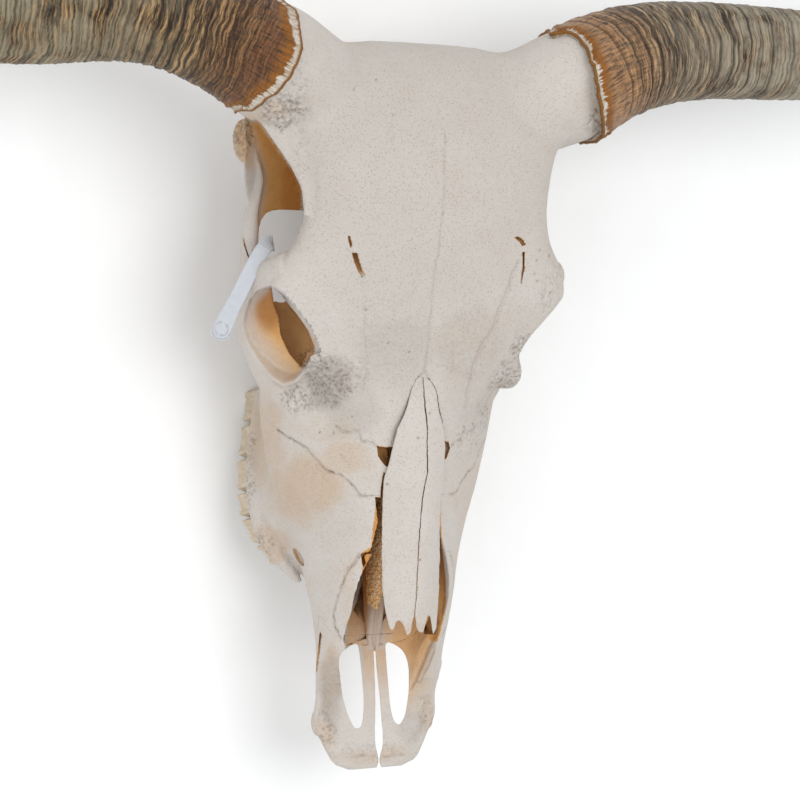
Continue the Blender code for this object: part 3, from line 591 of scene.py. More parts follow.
def side_hollows(side):
    return [
        orbit_socket(side),
        ellipsoid("orbit_to_fossa", (82, 352, 152), (27, 44, 32), (0, 0, 14), side),
        ellipsoid("temporal_fossa", (84, 408, 166), (19, 46, 34), (0, 8, -4), side),
    ]


print("face and nose ready")

# %% [markdown]
# ## The line of the horns
# A longhorn's horns leave the head level, swing a little back and then rise in a long curve. The
# line is steered like a road: heading and climb are given every so often, and added up step by
# step. The photograph cuts the horns off, so their ends follow the breed.

# %% Horn line and horn cores
HORN_BASE = np.array([121, 484.2, 236.7])
HORN_STEPS = [0, 88, 168, 248, 328, 408, 508, 628]
HORN_HEADING = {-1: [31, 12, -3, -2, 1, 4, 8, 13], 1: [31, 11.5, 1, -1, 1, 4, 8, 12]}
HORN_CLIMB = [-5, -6, 0, 15, 31, 46, 60, 72]
HORN_RADIUS = {-1: [43.5, 35, 41, 38.5, 33, 26, 17, 4], 1: [44.5, 38.8, 36.3, 34.2, 31, 25.5, 17, 4]}
HORN_LENGTH = HORN_STEPS[-1]


def horn_line(side, stations):
    """Centres, directions and radii of the horn at these distances from its base, in mm."""
    heading = np.radians(smooth_rows(list(zip(HORN_STEPS, HORN_HEADING[side])), 1)[:, 1])
    climb = np.radians(smooth_rows(list(zip(HORN_STEPS, HORN_CLIMB)), 1)[:, 1])
    radius = smooth_rows(list(zip(HORN_STEPS, HORN_RADIUS[side])), 1)[:, 1]
    fine = np.linspace(0, HORN_LENGTH, len(heading))
    level = np.cos(climb)
    ways = np.stack([side * level * np.cos(heading), level * np.sin(heading), np.sin(climb)], 1)
    steps = np.diff(fine)[:, None] * (ways[1:] + ways[:-1]) / 2
    line = HORN_BASE * (side, 1, 1) + np.vstack([[0, 0, 0], np.cumsum(steps, axis=0)])
    inside = np.clip(stations, 0, HORN_LENGTH)
    centres = np.stack([np.interp(inside, fine, line[:, k]) for k in range(3)], 1)
    directions = np.stack([np.interp(inside, fine, ways[:, k]) for k in range(3)], 1)
    directions /= np.linalg.norm(directions, axis=1)[:, None]
    centres += directions * (stations - inside)[:, None]
    return centres, directions, np.interp(inside, fine, radius)


def horn_core(side):
    """Bony stub that carries the sheath."""
    centres, directions, radius = horn_line(side, np.array([0.0, 14.0]))
    across = np.cross(directions[0], (0, 0, 1))
    across /= np.linalg.norm(across)
    upright = np.cross(across, directions[0])
    inner = np.array([side * 58, 461, 212])
    angles = 2 * math.pi * np.arange(48) / 48
    rings = []
    for share, size in ((0.0, 0.86), (0.35, 0.93), (0.7, 0.97), (1.0, 1.0), (1.2, 0.95)):
        centre = inner + (centres[0] - inner) * min(share, 1) + directions[0] * 60 * max(0, share - 1)
        r = (radius[0] - 1.0) * size
        rings.append(centre + r * (np.outer(np.cos(angles), across) + np.outer(np.sin(angles), upright)))
    return skin_rings("horn_core", rings)


print("horn length along its curve:", HORN_LENGTH, "mm")

# %% [markdown]
# ## Fusing the head
# All solids are joined, the hollows cut, and a voxel remesh lays one even skin over the whole, as
# real bones grow together. The grid is a little over a millimetre, close to a pixel of the picture.

# %% One head
VOXEL = 1.25
FOSSA_POCKET = [
    (249, 126), (256, 118), (263, 126), (276, 145), (290, 165), (299, 183), (302, 192), (304, 213),
    (262, 213), (259, 222), (258, 214), (261, 197), (264, 180), (261, 165), (256, 150), (250, 136),
]
FOSSA_WALL = [(244, 112), (312, 112), (314, 226), (250, 226), (244, 180)]
FOSSA_WALL_TILT = 0.5  # mm deeper for each pixel to the right
FOSSA_WALL_BEHIND = 5  # mm behind the cheek arch
ARCH_SPOT = [(250, 225)]  # where the camera sees the cheek arch
TEMPLE_ROOF = [
    (260, 112), (263, 126), (276, 145), (290, 165), (299, 183), (302, 192), (304, 216), (318, 216),
    (318, 150), (300, 122), (280, 108),
]
ROOF_FROM = [(300, 120), (313, 155), (318, 205)]
ROOF_TILT = 0.3  # mm deeper for each pixel to the left of its outer edge
ROOF_OUTER_EDGE = 312
ROOF_THICKNESS = 8
ORBIT_WALL = [
    (247, 281), (262, 274), (271, 284), (274, 303), (279, 318), (281, 335), (290, 354), (303, 368),
    (298, 384), (280, 386), (262, 368), (250, 347), (241, 322),
]
ORBIT_RIM = [(250, 300), (250, 345), (280, 382)]
ORBIT_WALL_TILT = 0.40  # mm deeper for each pixel to the right of its outer edge
ORBIT_WALL_EDGE = 246


FAR_DEPTH = 1600.0  # for a line of sight that misses the bone, in mm


def even_line(pixels, step):
    """The same broken line with a point about every step pixels."""
    pixels = np.array(pixels, float)
    lengths = np.linalg.norm(np.diff(pixels, axis=0), axis=1)
    at = np.concatenate([[0], np.cumsum(lengths)])
    fine = np.linspace(0, at[-1], max(2, int(at[-1] / step) + 1))
    return np.stack([np.interp(fine, at, pixels[:, k]) for k in range(2)], 1)


def surface_depths(tree, pixels, default):
    """How far along the view the bone lies behind each pixel."""
    depths = []
    for u, v in pixels:
        line = Vector(view_line(u, v))
        hit = tree.ray_cast(Vector(EYE), line)[0]
        depths.append((hit - Vector(EYE)).dot(line) / line.length_squared if hit else default)
    return np.array(depths)


def view_prism(name, pixels, near, far):
    """A solid that fills the pixel outline between two depths, given for each point or for all."""
    pixels = np.array(pixels, float)
    lines = np.array([view_line(u, v) for u, v in pixels])
    near = np.broadcast_to(near, len(pixels))[:, None]
    far = np.broadcast_to(far, len(pixels))[:, None]
    return skin_rings(name, [EYE + lines * near, EYE + lines * far])


def plane_of_depth(tree, three):
    """Depth as a flat function of pixels, through the bone behind three of them."""
    corners = np.column_stack([np.ones(3), three])
    plane = np.linalg.solve(corners, surface_depths(tree, three, FAR_DEPTH))
    return lambda u, v: plane @ (1, u, v)


def inner_walls(head):
    """The pocket of the temple and the smooth walls seen through temple and orbit."""
    tree = tree_of(head)
    arch = surface_depths(tree, ARCH_SPOT, FAR_DEPTH)[0]
    start = arch + FOSSA_WALL_BEHIND
    deep = [start + FOSSA_WALL_TILT * (u - ARCH_SPOT[0][0]) for u, _ in FOSSA_POCKET]
    behind = np.array([start + FOSSA_WALL_TILT * (u - ARCH_SPOT[0][0]) for u, _ in FOSSA_WALL])
    brow = plane_of_depth(tree, ROOF_FROM)
    roof = np.array([brow(u, v) + 1.5 + ROOF_TILT * max(0, ROOF_OUTER_EDGE - u) for u, v in TEMPLE_ROOF])
    print("temple roof at", np.round(roof), "mm from the camera")
    combine(head, [view_prism("temple_roof", TEMPLE_ROOF, roof, roof + ROOF_THICKNESS)], "UNION")
    combine(head, [view_prism("fossa_pocket", FOSSA_POCKET, arch - 110, deep)], "DIFFERENCE")
    rim = plane_of_depth(tree, ORBIT_RIM)
    near = np.array([rim(u, v) + 5 + ORBIT_WALL_TILT * (u - ORBIT_WALL_EDGE) for u, v in ORBIT_WALL])
    walls = [
        view_prism("fossa_wall", FOSSA_WALL, behind, behind + 5),
        view_prism("orbit_wall", ORBIT_WALL, near, near + 4),
    ]
    combine(head, walls, "UNION")


def melt(obj, weight, passes):
    """Rounds the surface off where weight is above 0, by pulling points towards their neighbours."""
    edges = np.empty(len(obj.data.edges) * 2, np.int32)
    obj.data.edges.foreach_get("vertices", edges)
    first, second = edges.reshape(-1, 2).T
    points = read_points(obj)
    touched = (weight[first] > 0) | (weight[second] > 0)
    first, second = first[touched], second[touched]
    count = np.bincount(first, minlength=len(points)) + np.bincount(second, minlength=len(points))
    share = (0.6 * weight / np.maximum(count, 1))[:, None]
    size = len(points)
    for _ in range(passes):
        total = np.stack([
            np.bincount(first, points[second, k], size) + np.bincount(second, points[first, k], size)
            for k in range(3)
        ], 1)
        points = points + share * (total - count[:, None] * points)
    write_points(obj, points)


def joint_weight(points):
    """Where solids meet in a crease that the real bone doesn't have."""
    x, y, z = points.T
    wide = abs(x)
    brow = ease(y, 205, 235) * (1 - ease(y, 268, 300)) * ease(z, 128, 150) * (1 - ease(wide, 78, 96))
    horn = ease(y, 400, 430) * ease(z, 190, 215) * ease(wide, 40, 62) * (1 - ease(wide, 104, 114))
    pixels, _ = to_picture(points)
    edge = np.interp(pixels[:, 1], *np.array(TEMPLE_ROOF[1:7], float)[:, ::-1].T)
    horn *= np.maximum(ease(abs(pixels[:, 0] - edge), 6, 16), x > 0)
    knob = ease(x, 62, 74) * ease(y, 255, 268) * (1 - ease(y, 315, 335)) * ease(z, 110, 125)
    cheek = ease(y, 150, 172) * (1 - ease(y, 296, 316)) * ease(z, 38, 50)
    cheek *= (1 - ease(z, 84, 104)) * ease(wide, 54, 66)
    return np.maximum.reduce([brow, horn, 0.6 * knob, cheek])


MELT_PASSES = 130


def build_head():
    solids = [forehead(), braincase(), nuchal_plate(), face(), muzzle_tip()]
    solids.append(ellipsoid("tear_bone_knob", (84, 281, 150), (15, 13, 17)))
    solids.append(ellipsoid("tear_bone_flange", (86, 296, 158), (13, 26, 20)))
    hollows = nose_hollows()
    for side in (-1, 1):
        solids += [orbit_cup(side), alveolar_ridge(side), alveolar_edge(side), horn_core(side)]
        solids += cheek_solids(side)
        solids.append(ellipsoid("muzzle_knob", (46, 33, 34.5), (4.5, 10, 5), side=side))
        hollows += side_hollows(side)
    head = combine(solids[0], solids[1:], "UNION")
    head.name = "head"
    combine(head, hollows, "DIFFERENCE")
    inner_walls(head)
    one_skin(head, VOXEL)
    melt(head, joint_weight(read_points(head)), MELT_PASSES)
    return head


head = build_head()
print("head:", len(head.data.polygons), "faces")

# %% [markdown]
# ## Openings, cut along the view
# Each opening is outlined by the pixels of its edge in the photograph. A prism along the view
# lines then cuts the bone there, so the hole has the outline that the camera saw.

# %% Outlines of the openings, in pixels
RIGHT_ORBIT = [
    (283, 292), (277, 288), (270, 286), (258, 290), (250, 300), (245, 313), (244, 327), (247, 338),
    (254, 352), (262, 364), (270, 374), (278, 382), (285, 385), (290, 384), (294, 378), (300, 371),
    (305, 362), (312, 355), (321, 352),
]
RIGHT_ORBIT_ROOF = [(321, 352), (317, 340), (310, 325), (300, 312), (292, 302), (283, 292)]
FOSSA_LIGHT = [
    (266, 213), (272, 210.5), (279, 209.5), (290, 209.8), (312, 211), (312, 240), (290, 256), (278, 262),
    (268, 256), (258, 250), (258.5, 232), (261, 220),
]
TEAR_GAP = [(377, 446), (384, 447), (398, 447), (398, 468), (387, 467), (382, 462), (378, 456)]
CRACK_GAP = [(383.5, 473), (392, 473), (392, 498), (380.5, 498), (381, 487)]
SIDE_GAP = [
    (375, 497), (380, 497.5), (392, 497), (392, 560), (372, 560), (371.5, 545), (376, 528), (378, 521),
    (376, 508),
]
RIGHT_NOSE_EDGE = [
    (392, 548), (371, 547), (370, 551), (360.5, 553.5), (363, 566), (363, 578), (357, 601), (352, 612),
    (347, 623), (343, 640), (346, 646), (356, 641), (370, 638), (382, 624), (392, 600),
]
LEFT_TEAR_GAP = [(440, 441), (448.5, 442), (450, 448), (448, 454), (446, 459), (440, 459)]
LEFT_SIDE_GAP = [
    (436, 520), (439.5, 520), (441, 545), (444, 570), (445, 590), (444, 605), (442, 618), (438, 627),
    (434, 634), (424, 634), (424, 520),
]
RIGHT_FISSURE = [
    (357, 643), (348, 647), (340, 654), (338.5, 664), (340, 676), (342, 694), (346, 711), (353, 727),
    (357, 729), (362.5, 726), (364, 702), (362, 676), (359, 649),
]
LEFT_FISSURE = [
    (385, 641), (396, 645), (404.5, 652), (409, 667), (409, 690), (406, 710), (404, 718), (399, 726),
    (393, 720), (390, 705), (389, 694), (386, 658),
]
MUZZLE_GAP = [
    (373.3, 640), (374.8, 640), (376.5, 670), (379, 690), (381, 712), (383, 738), (382, 748),
    (379.4, 757), (379.3, 763), (382, 769), (386, 777), (371, 777), (376, 769), (378.4, 763),
    (378.4, 757), (375.5, 746), (374.6, 732), (375.2, 712), (375.3, 690), (374.5, 670),
]
SMALL_HOLES = {
    "right_brow_slit": [(348, 236), (350, 236.5), (352, 245), (350.6, 247), (349, 243)],
    "right_brow_channel": [
        (352, 253), (357, 253), (359.5, 262), (362, 270), (365.5, 275.5), (362, 277), (358, 271),
        (354.5, 262),
    ],
    "left_brow_slit": [(514.5, 237.5), (518, 236.5), (523, 240), (525.5, 244.5), (522, 246), (519, 241.5)],
    "left_brow_channel": [(522.5, 252), (524.5, 252), (524.4, 268), (521.6, 284), (520.4, 283), (522.6, 268)],
    "face_vessel_hole": [
        (292.5, 549), (296, 548.5), (300, 553), (303.5, 560), (304, 566), (300.5, 565), (295.5, 558),
    ],
    "arch_slit": [(242.4, 236.5), (243.6, 238), (247, 250), (249.6, 258), (247.6, 256), (244.4, 247)],
    "cheek_slit": [(320, 632), (321.6, 634), (319.6, 652), (317, 672), (315.2, 673), (317.6, 652)],
}


def rounded(outline):
    """A closed outline with its corners cut twice, so that it bends smoothly."""
    for _ in range(2):
        outline = np.array(outline, float)
        after = np.roll(outline, -1, 0)
        outline = np.stack([0.75 * outline + 0.25 * after, 0.25 * outline + 0.75 * after], 1).reshape(-1, 2)
    return outline


def frayed(pixels, step, reach, seed=0):
    """The line with small teeth: points every step pixels, shifted across by up to reach pixels."""
    line = even_line(pixels, step)
    along = np.gradient(line, axis=0)
    along /= np.linalg.norm(along, axis=1)[:, None]
    shift = np.random.default_rng(seed).uniform(-1, 1, len(line)) * reach
    shift[[0, -1]] = 0
    return line + np.stack([-along[:, 1], along[:, 0]], 1) * shift[:, None]


print(len(SMALL_HOLES) + 11, "outlines")

# %% [markdown]
# ## Cutting the openings
# A rim needs a shallow cut that follows it, so that the hollow behind stays whole. The cut starts
# in front of the bone and ends a little behind it. Holes that show the floor go right through.

# %% Cut them
THROUGH = 400
EDGE_BEFORE = 14
MUZZLE_SPOT = [(330, 720)]  # where the camera sees the muzzle beside its openings
roof_teeth = frayed(RIGHT_ORBIT_ROOF, 1.7, 1.3, seed=4)


def cut_openings(head):
    tree = tree_of(head)
    cutters = []

    def shallow(name, outline, behind, most=30):
        middle = np.mean(outline, axis=0)
        wide = middle + (np.array(outline) - middle) * 1.04
        depths = surface_depths(tree, wide, FACE_DISTANCE)
        depths = np.minimum(depths, np.median(depths) + most)
        cutters.append(view_prism(name, outline, depths - EDGE_BEFORE, depths + behind))

    orbit = np.vstack([RIGHT_ORBIT[:-1], roof_teeth[:-1]])
    shallow("right_orbit", orbit, 5.5)
    for name, outline, behind in (
        ("tear_gap", frayed(TEAR_GAP, 3, 0.4, 1), 10), ("crack_gap", CRACK_GAP, 8),
        ("side_gap", frayed(SIDE_GAP, 3, 0.5, 2), 10), ("left_tear_gap", LEFT_TEAR_GAP, 8),
        ("left_side_gap", LEFT_SIDE_GAP, 9),
    ):
        shallow(name, outline, behind)
    shallow("right_nose_edge", frayed(RIGHT_NOSE_EDGE, 3, 0.5, 3), 8, most=5)
    for name, outline in SMALL_HOLES.items():
        depths = surface_depths(tree, outline, FACE_DISTANCE)
        deep = 9 if "hole" in name else 3.2
        cutters.append(view_prism(name, outline, depths - 6, np.median(depths) + deep))
    fossa = surface_depths(tree, ARCH_SPOT, FACE_DISTANCE)[0]
    cutters.append(view_prism("fossa_light", FOSSA_LIGHT, fossa - 8, fossa + THROUGH))
    muzzle = surface_depths(tree, MUZZLE_SPOT, FACE_DISTANCE)[0]
    through_holes = {"right_fissure": RIGHT_FISSURE, "left_fissure": LEFT_FISSURE, "muzzle_gap": MUZZLE_GAP}
    for name, outline in through_holes.items():
        cutters.append(view_prism(name, rounded(outline), muzzle - 40, muzzle + THROUGH))
    return combine(head, cutters, "DIFFERENCE")


cut_openings(head)
print("head after cutting:", len(head.data.polygons), "faces")

# %% [markdown]
# ## Nasal bones
# Two long thin arched bones roof the nose. They are laid as one arched shell, wider than needed,
# and trimmed along the view to the outline of the pair, with the fork at their tips.

# %% Nasal bones, and the bed they lie in
NASAL_ROWS = [
    (276, 8, 0.3), (262, 12, 0.9), (250, 18, 3.2), (238, 23, 6), (224, 26, 9.4), (208, 27, 12.6),
    (193, 27.5, 14), (169, 27, 14.5), (144, 27, 15), (118, 25.5, 11), (88, 23, 7),
]
NASAL_THICKNESS = 3.2
NASAL_MARGIN = 6  # trimmed off again by the outline
NASAL_LEAST = 30  # half width that even the narrow front rows keep before the trim
THIN_VOXEL = 0.7
INTERNASAL = [
    (423, 377), (424, 395), (426, 415), (427.3, 430), (427.3, 473), (424, 490), (422, 501), (419.5, 532),
    (418, 561), (416, 599), (414.5, 616),
]
RIGHT_NASAL_EDGE = [
    (419, 376.5), (416.5, 379), (411, 391), (405.5, 411), (398, 427), (394, 442), (392, 452), (388, 466),
    (384, 478), (382.4, 500), (382.2, 528), (381.6, 560), (382.5, 590), (385, 610), (388.5, 625),
]
RIGHT_NASAL_TIP = [
    (391, 630.5), (394, 629), (396, 622), (399, 620), (403, 624), (407, 635.5), (410.5, 633),
    (412.5, 621),
]
LEFT_NASAL_TIP = [
    (416.5, 627), (419, 632), (423, 632.5), (426, 622), (428, 613.5), (430.5, 618), (433, 634.5),
    (436, 629),
]
LEFT_NASAL_EDGE = [
    (437.4, 614), (438.6, 590), (439.6, 560), (439.3, 528), (440, 505), (443.3, 491), (444.2, 463),
    (445.3, 448), (444, 430), (439.6, 412), (437.6, 402), (436.6, 393), (433.5, 384.5), (429, 379),
]


def nasal_arch(extra=0.0, lift=0.0):
    """The shell over both nasal bones; extra makes it thicker below, lift raises its top."""
    rows = smooth_rows(NASAL_ROWS, 2)
    across = np.linspace(-1, 1, 41)
    top, under = [], []
    for y, half, drop in rows:
        wider = max(half + NASAL_MARGIN, NASAL_LEAST)
        drop, half = drop * (wider / half) ** 2, wider
        height = midline(y) - drop * across**2
        top.append(np.column_stack([half * across, np.full(41, y), height + lift]))
        under.append(np.column_stack([half * across, np.full(41, y), height - NASAL_THICKNESS - extra]))
    rings = [np.vstack([t, u[::-1]]) for t, u in zip(top, under)]
    return skin_rings("nasal_arch", rings)


def nasal_bone(name, outline):
    bone = nasal_arch()
    depths = surface_depths(tree_of(bone), outline, FACE_DISTANCE)
    trim = view_prism("trim", outline, np.median(depths) - 120, np.median(depths) + 120)
    combine(bone, [trim], "INTERSECT")
    bone.name = name
    return one_skin(bone, THIN_VOXEL, 3)


internasal = frayed(INTERNASAL, 4, 0.35, seed=7)
right_edge = frayed(RIGHT_NASAL_EDGE, 4, 0.3, seed=8)
left_edge = frayed(LEFT_NASAL_EDGE, 4, 0.3, seed=9)
suture_half = np.array([0.35, 0])
right_outline = np.vstack([right_edge, RIGHT_NASAL_TIP, (internasal - suture_half)[::-1]])
left_outline = np.vstack([internasal + suture_half, LEFT_NASAL_TIP, left_edge])
BED_FRONT = [(391, 645), (438, 645)]
bed_half = np.array([0.5, 0])
pair_outline = np.vstack([right_edge - bed_half, RIGHT_NASAL_TIP[:1], BED_FRONT, left_edge + bed_half])
nasals = {
    "nasal_right": nasal_bone("nasal_right_bone", right_outline),
    "nasal_left": nasal_bone("nasal_left_bone", left_outline),
}
bed = nasal_arch(extra=1.0, lift=30)
BED_REACH = 300
bed_trim = view_prism("bed_trim", pair_outline, FACE_DISTANCE - BED_REACH, FACE_DISTANCE + BED_REACH)
combine(bed, [bed_trim], "INTERSECT")
combine(head, [bed], "DIFFERENCE")
print("nasal bones:", [len(bone.data.polygons) for bone in nasals.values()], "faces")

# %% [markdown]
# ## Surface relief
# Sutures, grooves left by blood vessels and the raised edges of bones are drawn as lines in
# pixels. Every vertex that the camera sees measures its distance to them, and is pushed in or
# out. Rough patches, such as the porous corner before the eye, are lumps and pits of noise.

# %% Lines of the surface: pixels, half width in pixels, depth in mm, darkness
# Darkness is the brown of a suture, crack or scratch, and painted shade along grooves, steps, folds, ledges
# and hollows.
MARKS = {
    "frontal_suture": ([(445, 133), (444.5, 190), (442, 220), (438, 255), (434, 275), (433, 295), (429, 327),
                        (428, 345), (424, 372)], 0.7, 0.25, 0.3),
    "fronto_nasal_right": ([(425, 372), (419, 376)], 0.7, 0.4, 0.4),
    "fronto_nasal_left": ([(425, 372), (429, 379)], 0.7, 0.4, 0.4),
    "vessel_right": ([(366, 310), (365, 333), (367, 350), (367, 364), (365, 384)], 1.6, 0.6, 0.0),
    "vessel_right_upper": ([(362, 278), (366, 292), (366, 310)], 2.2, 0.6, 0.0),
    "vessel_left": ([(519, 262), (514, 273), (507, 295), (501, 308), (495, 327), (482, 348), (474, 369),
                     (470, 385), (467, 407)], 1.9, 1.2, 0.12),
    "brow_step_left": ([(438, 367), (446, 366), (453, 372), (462, 373), (469, 379)], 1.0, 0.4, 0.08),
    "brow_step_right": ([(368, 372), (376, 366), (388, 365)], 1.0, 0.3, 0.05),
    "brow_diagonal": ([(397, 313), (391, 325), (384, 340), (378, 353)], 1.0, 0.3, 0.06),
    "cheek_hollow": ([(316, 463), (322, 478), (334, 490)], 1.2, 0.3, 0.1),
    "cheek_scratch": ([(340, 455), (347, 462), (350, 466)], 0.7, 0.3, 0.15),
    "muzzle_ledge_right": ([(352, 757), (364, 755.5), (375, 757)], 0.9, 0.8, 0.3),
    "muzzle_ledge_left": ([(384, 757), (394, 755.5), (404, 754.5)], 0.9, 0.8, 0.3),
    "left_forehead_crack": ([(453, 352), (454, 369)], 0.5, 0.2, 0.3),
    "nose_fold_long": ([(411, 690), (420, 668), (428, 648), (437, 630)], 1.3, 0.9, 0.45),
    "nose_fold_short": ([(420, 683), (427, 668), (434, 650)], 1.1, 0.7, 0.35),
    "muzzle_hollow_right": ([(322, 665), (323, 690), (327, 712), (334, 728)], 5.0, 0.5, 0.16),
    "muzzle_hollow_left": ([(428, 700), (424, 722), (416, 738)], 4.0, 0.5, 0.14),
}
# Darkness: suture brown, and painted shade along the tooth ridge groove.
PAIRED_MARKS = {
    "tear_suture": (
        [(336, 427), (340, 432), (351.5, 433), (357, 429), (360, 441), (368, 441), (376, 446)],
        0.9, 1.3, 0.95,
    ),
    "upper_jaw_fork": (
        [(278, 430), (290, 438), (304, 446), (316.5, 460), (326, 471), (339, 474)],
        0.9, 0.8, 0.75,
    ),
    "upper_jaw_suture": ([(339, 474), (349, 482), (361, 496), (371, 496)], 0.9, 0.8, 0.75),
    "premaxilla_suture": (
        [(360, 555), (347, 571), (337, 598), (333, 613.5), (334, 626), (341, 639)],
        0.9, 1.0, 0.8,
    ),
    "tooth_ridge_groove": ([(262, 516), (270, 530), (281, 547), (290, 560)], 1.8, 1.0, 0.12),
}
RIDGES = [
    ([(363, 318), (363.5, 340), (365, 352), (365.5, 368), (363, 386)], 2.0, 1.3),
    ([(346, 282), (352, 300), (358, 306)], 2.5, 0.4),
]
DOMES = [((322, 520), (26, 30), 1.4), ((300, 430), (30, 20), 0.6)]
ROUGH_PATCHES = [
    ((330, 382), (30, 34), 1.2), ((314, 362), (18, 16), 1.5), ((352, 372), (26, 26), 0.5),
    ((528, 352), (22, 28), 1.2), ((508, 386), (24, 28), 1.2), ((490, 416), (18, 28), 0.8),
    ((298, 398), (24, 18), 1.1), ((548, 300), (14, 34), 0.5), ((282, 110), (30, 22), 1.9),
    ((240, 138), (16, 26), 1.6), ((602, 118), (20, 24), 1.1), ((246, 470), (12, 76), 0.8),
    ((262, 545), (16, 22), 0.9), ((300, 165), (14, 60), 0.3), ((560, 270), (14, 50), 0.4),
    ((326, 728), (14, 30), 0.8), ((426, 716), (10, 26), 0.6), ((297, 80), (18, 30), 0.6),
    ((470, 440), (26, 24), 0.45), ((332, 680), (14, 46), 0.3), ((370, 752), (60, 14), 0.4),
    ((385, 325), (60, 50), 0.15), ((470, 345), (50, 50), 0.2),
]
PIN_HOLES = [
    (540, 250), (549, 256), (537, 260), (535, 274), (537, 281), (550, 293), (366, 310), (388, 343),
    (409, 352), (352, 417), (350, 391), (320, 432), (334, 433), (418, 438), (387, 484), (376, 80),
    (354, 89), (393, 115), (430, 413), (464, 427), (473, 424), (420, 560), (303, 447), (418, 682),
]


def line_distance(points, line):
    """Distance from each point to a broken line, in the picture or in space."""
    line = np.array(line, float)
    best = np.full(len(points), 1e9)
    for start, end in zip(line[:-1], line[1:]):
        way = end - start
        share = np.clip((points - start) @ way / (way @ way), 0, 1)
        best = np.minimum(best, np.linalg.norm(points - start - share[:, None] * way, axis=1))
    return best


def lay_on_bone(tree, pixels):
    """The points in space where the camera sees this line of pixels on the bone."""
    spots = even_line(pixels, 5)
    depths = surface_depths(tree, spots, FACE_DISTANCE)
    lines = np.array([view_line(u, v) for u, v in spots])
    return EYE + lines * depths[:, None]


def paired_lines(points):
    """Distance of each point to each paired mark, and the mark, on both sides of the head."""
    mirrored = points * (-1, 1, 1)
    shake = 0.9 * np.stack([noise(points, 2.6, 31 + k) for k in range(3)], 1)
    on_right = points[:, 0] < 0
    side_points = np.where(on_right[:, None], points, mirrored) + shake
    for name, (_, width, depth, darkness) in PAIRED_MARKS.items():
        yield line_distance(side_points, SUTURES[name]) / max(width, 0.95), depth, darkness


def facing_camera(points, normals):
    """1 where the camera sees the surface, 0 where it lies behind other bone or faces away."""
    pixels, depth = to_picture(points)
    cell = np.clip((pixels / 2).astype(int), -100, 499) + 100
    number = cell[:, 0] * 600 + cell[:, 1]
    nearest = np.full(600 * 600, 1e9)
    np.minimum.at(nearest, number, depth)
    towards = ((EYE - points) / depth[:, None] * normals).sum(1)
    return pixels, (ease(towards, 0.05, 0.3) * (depth < nearest[number] + 7)).astype(float)


def patch(pixels, centre, radii):
    """1 in the middle of an ellipse in the picture, falling to 0 at its edge."""
    away = np.linalg.norm((pixels - centre) / radii, axis=1)
    return 1 - ease(away, 0.45, 1.0)


def ruggedness(points, pixels, seen):
    """How rough and porous the bone is."""
    rugged = np.zeros(len(points))
    drift = np.stack([noise(points, 7, 28), noise(points, 7, 29)], 1) * 5
    for centre, radii, strength in ROUGH_PATCHES:
        rugged = np.maximum(rugged, strength * patch(pixels + drift, centre, radii) * seen)
    return rugged


def shaken(points):
    """Small sideways shifts in pixels that make a drawn line waver."""
    return np.stack([noise(points, 3.0, 21), noise(points, 3.0, 22)], 1) * 0.8


LEAST_MARK = 1.0  # half width in pixels
PIN_WIDTH = 0.9


def relief(points, normals):
    """How far each point moves outwards, in mm."""
    pixels, seen = facing_camera(points, normals)
    wander = shaken(points)
    moved = 0.22 * rough(points, 26, 3) + 0.10 * rough(points, 6, 4)
    for line, width, depth, _ in MARKS.values():
        moved -= seen * 1.5 * depth * ridge(line_distance(pixels + wander, line), 0, max(width, LEAST_MARK))
    for line, width, height in RIDGES:
        moved += seen * height * ridge(line_distance(pixels, line), 0, width)
    for centre, radii, height in DOMES:
        moved += seen * height * patch(pixels, centre, radii)
    for away, depth, _ in paired_lines(points):
        moved -= depth * ridge(away, 0, 1)
    for centre in PIN_HOLES:
        moved -= seen * 1.1 * ridge(np.linalg.norm(pixels - centre, axis=1), 0, PIN_WIDTH)
    rugged = ruggedness(points, pixels, seen)
    strong = rugged > 0.02
    if strong.any():
        spots = points[strong]
        pits = np.clip(0.66 - cells(spots, 3.3, 5), 0, 1) * 2.6
        knobs = np.clip(0.8 - cells(spots, 5.5, 6), 0, 1) * 3.4
        strength = rugged[strong]
        moved[strong] += strength * (0.8 * rough(spots, 4.5, 9) - pits) + np.clip(strength - 1, 0, 1) * knobs
    return moved


def emboss(obj):
    points, normals = read_points(obj), read_normals(obj)
    write_points(obj, points + normals * relief(points, normals)[:, None])
    return obj


head_tree = tree_of(head)
SUTURES = {name: lay_on_bone(head_tree, mark[0]) for name, mark in PAIRED_MARKS.items()}
emboss(head)
for bone in nasals.values():
    emboss(bone)
print(len(MARKS), "lines,", len(RIDGES), "ridges and", len(PIN_HOLES), "pin holes drawn")

# %% [markdown]
# ## Parting the bones
# Two bent sheets, less than half a millimetre thick, part the upper jaws from the skull and the
# premaxillae from the upper jaws. Their outlines zigzag a little, as these sutures interlock.

# %% Suture cuts
MAXILLA_REAR = [
    (187, 300), (187, 160), (190, 150), (204, 140), (211, 134), (221, 125), (234, 114), (250, 100), (268, 85),
    (285, 70), (299, 58), (309, 44), (311, -30),
]
PREMAXILLA_REAR = [
    (160, 300), (158, 128), (151, 118), (140, 105), (122, 85), (112, 75), (103, 68), (93, 55), (88, 44),
    (80, -20),
]
SUTURE_GAP = 0.08


def suture_sheet(name, outline, seed):
    """A thin zigzag sheet through the head, from left to right."""
    line = frayed(outline, 2.4, 0.8, seed)
    along = np.gradient(line, axis=0)
    along /= np.linalg.norm(along, axis=1)[:, None]
    across = np.stack([-along[:, 1], along[:, 0]], 1) * SUTURE_GAP / 2
    ring = np.vstack([line + across, (line - across)[::-1]])
    return skin_rings(name, [np.column_stack([np.full(len(ring), x), ring]) for x in (-140, 140)])


def through(drawn, rough_line):
    """The drawn suture, carried on above and below it by the rest of the rough line."""
    high = [spot for spot in rough_line if spot[1] > drawn[0][1] + 4]
    low = [spot for spot in rough_line if spot[1] < drawn[-1][1] - 4]
    return np.vstack([high, drawn, low])


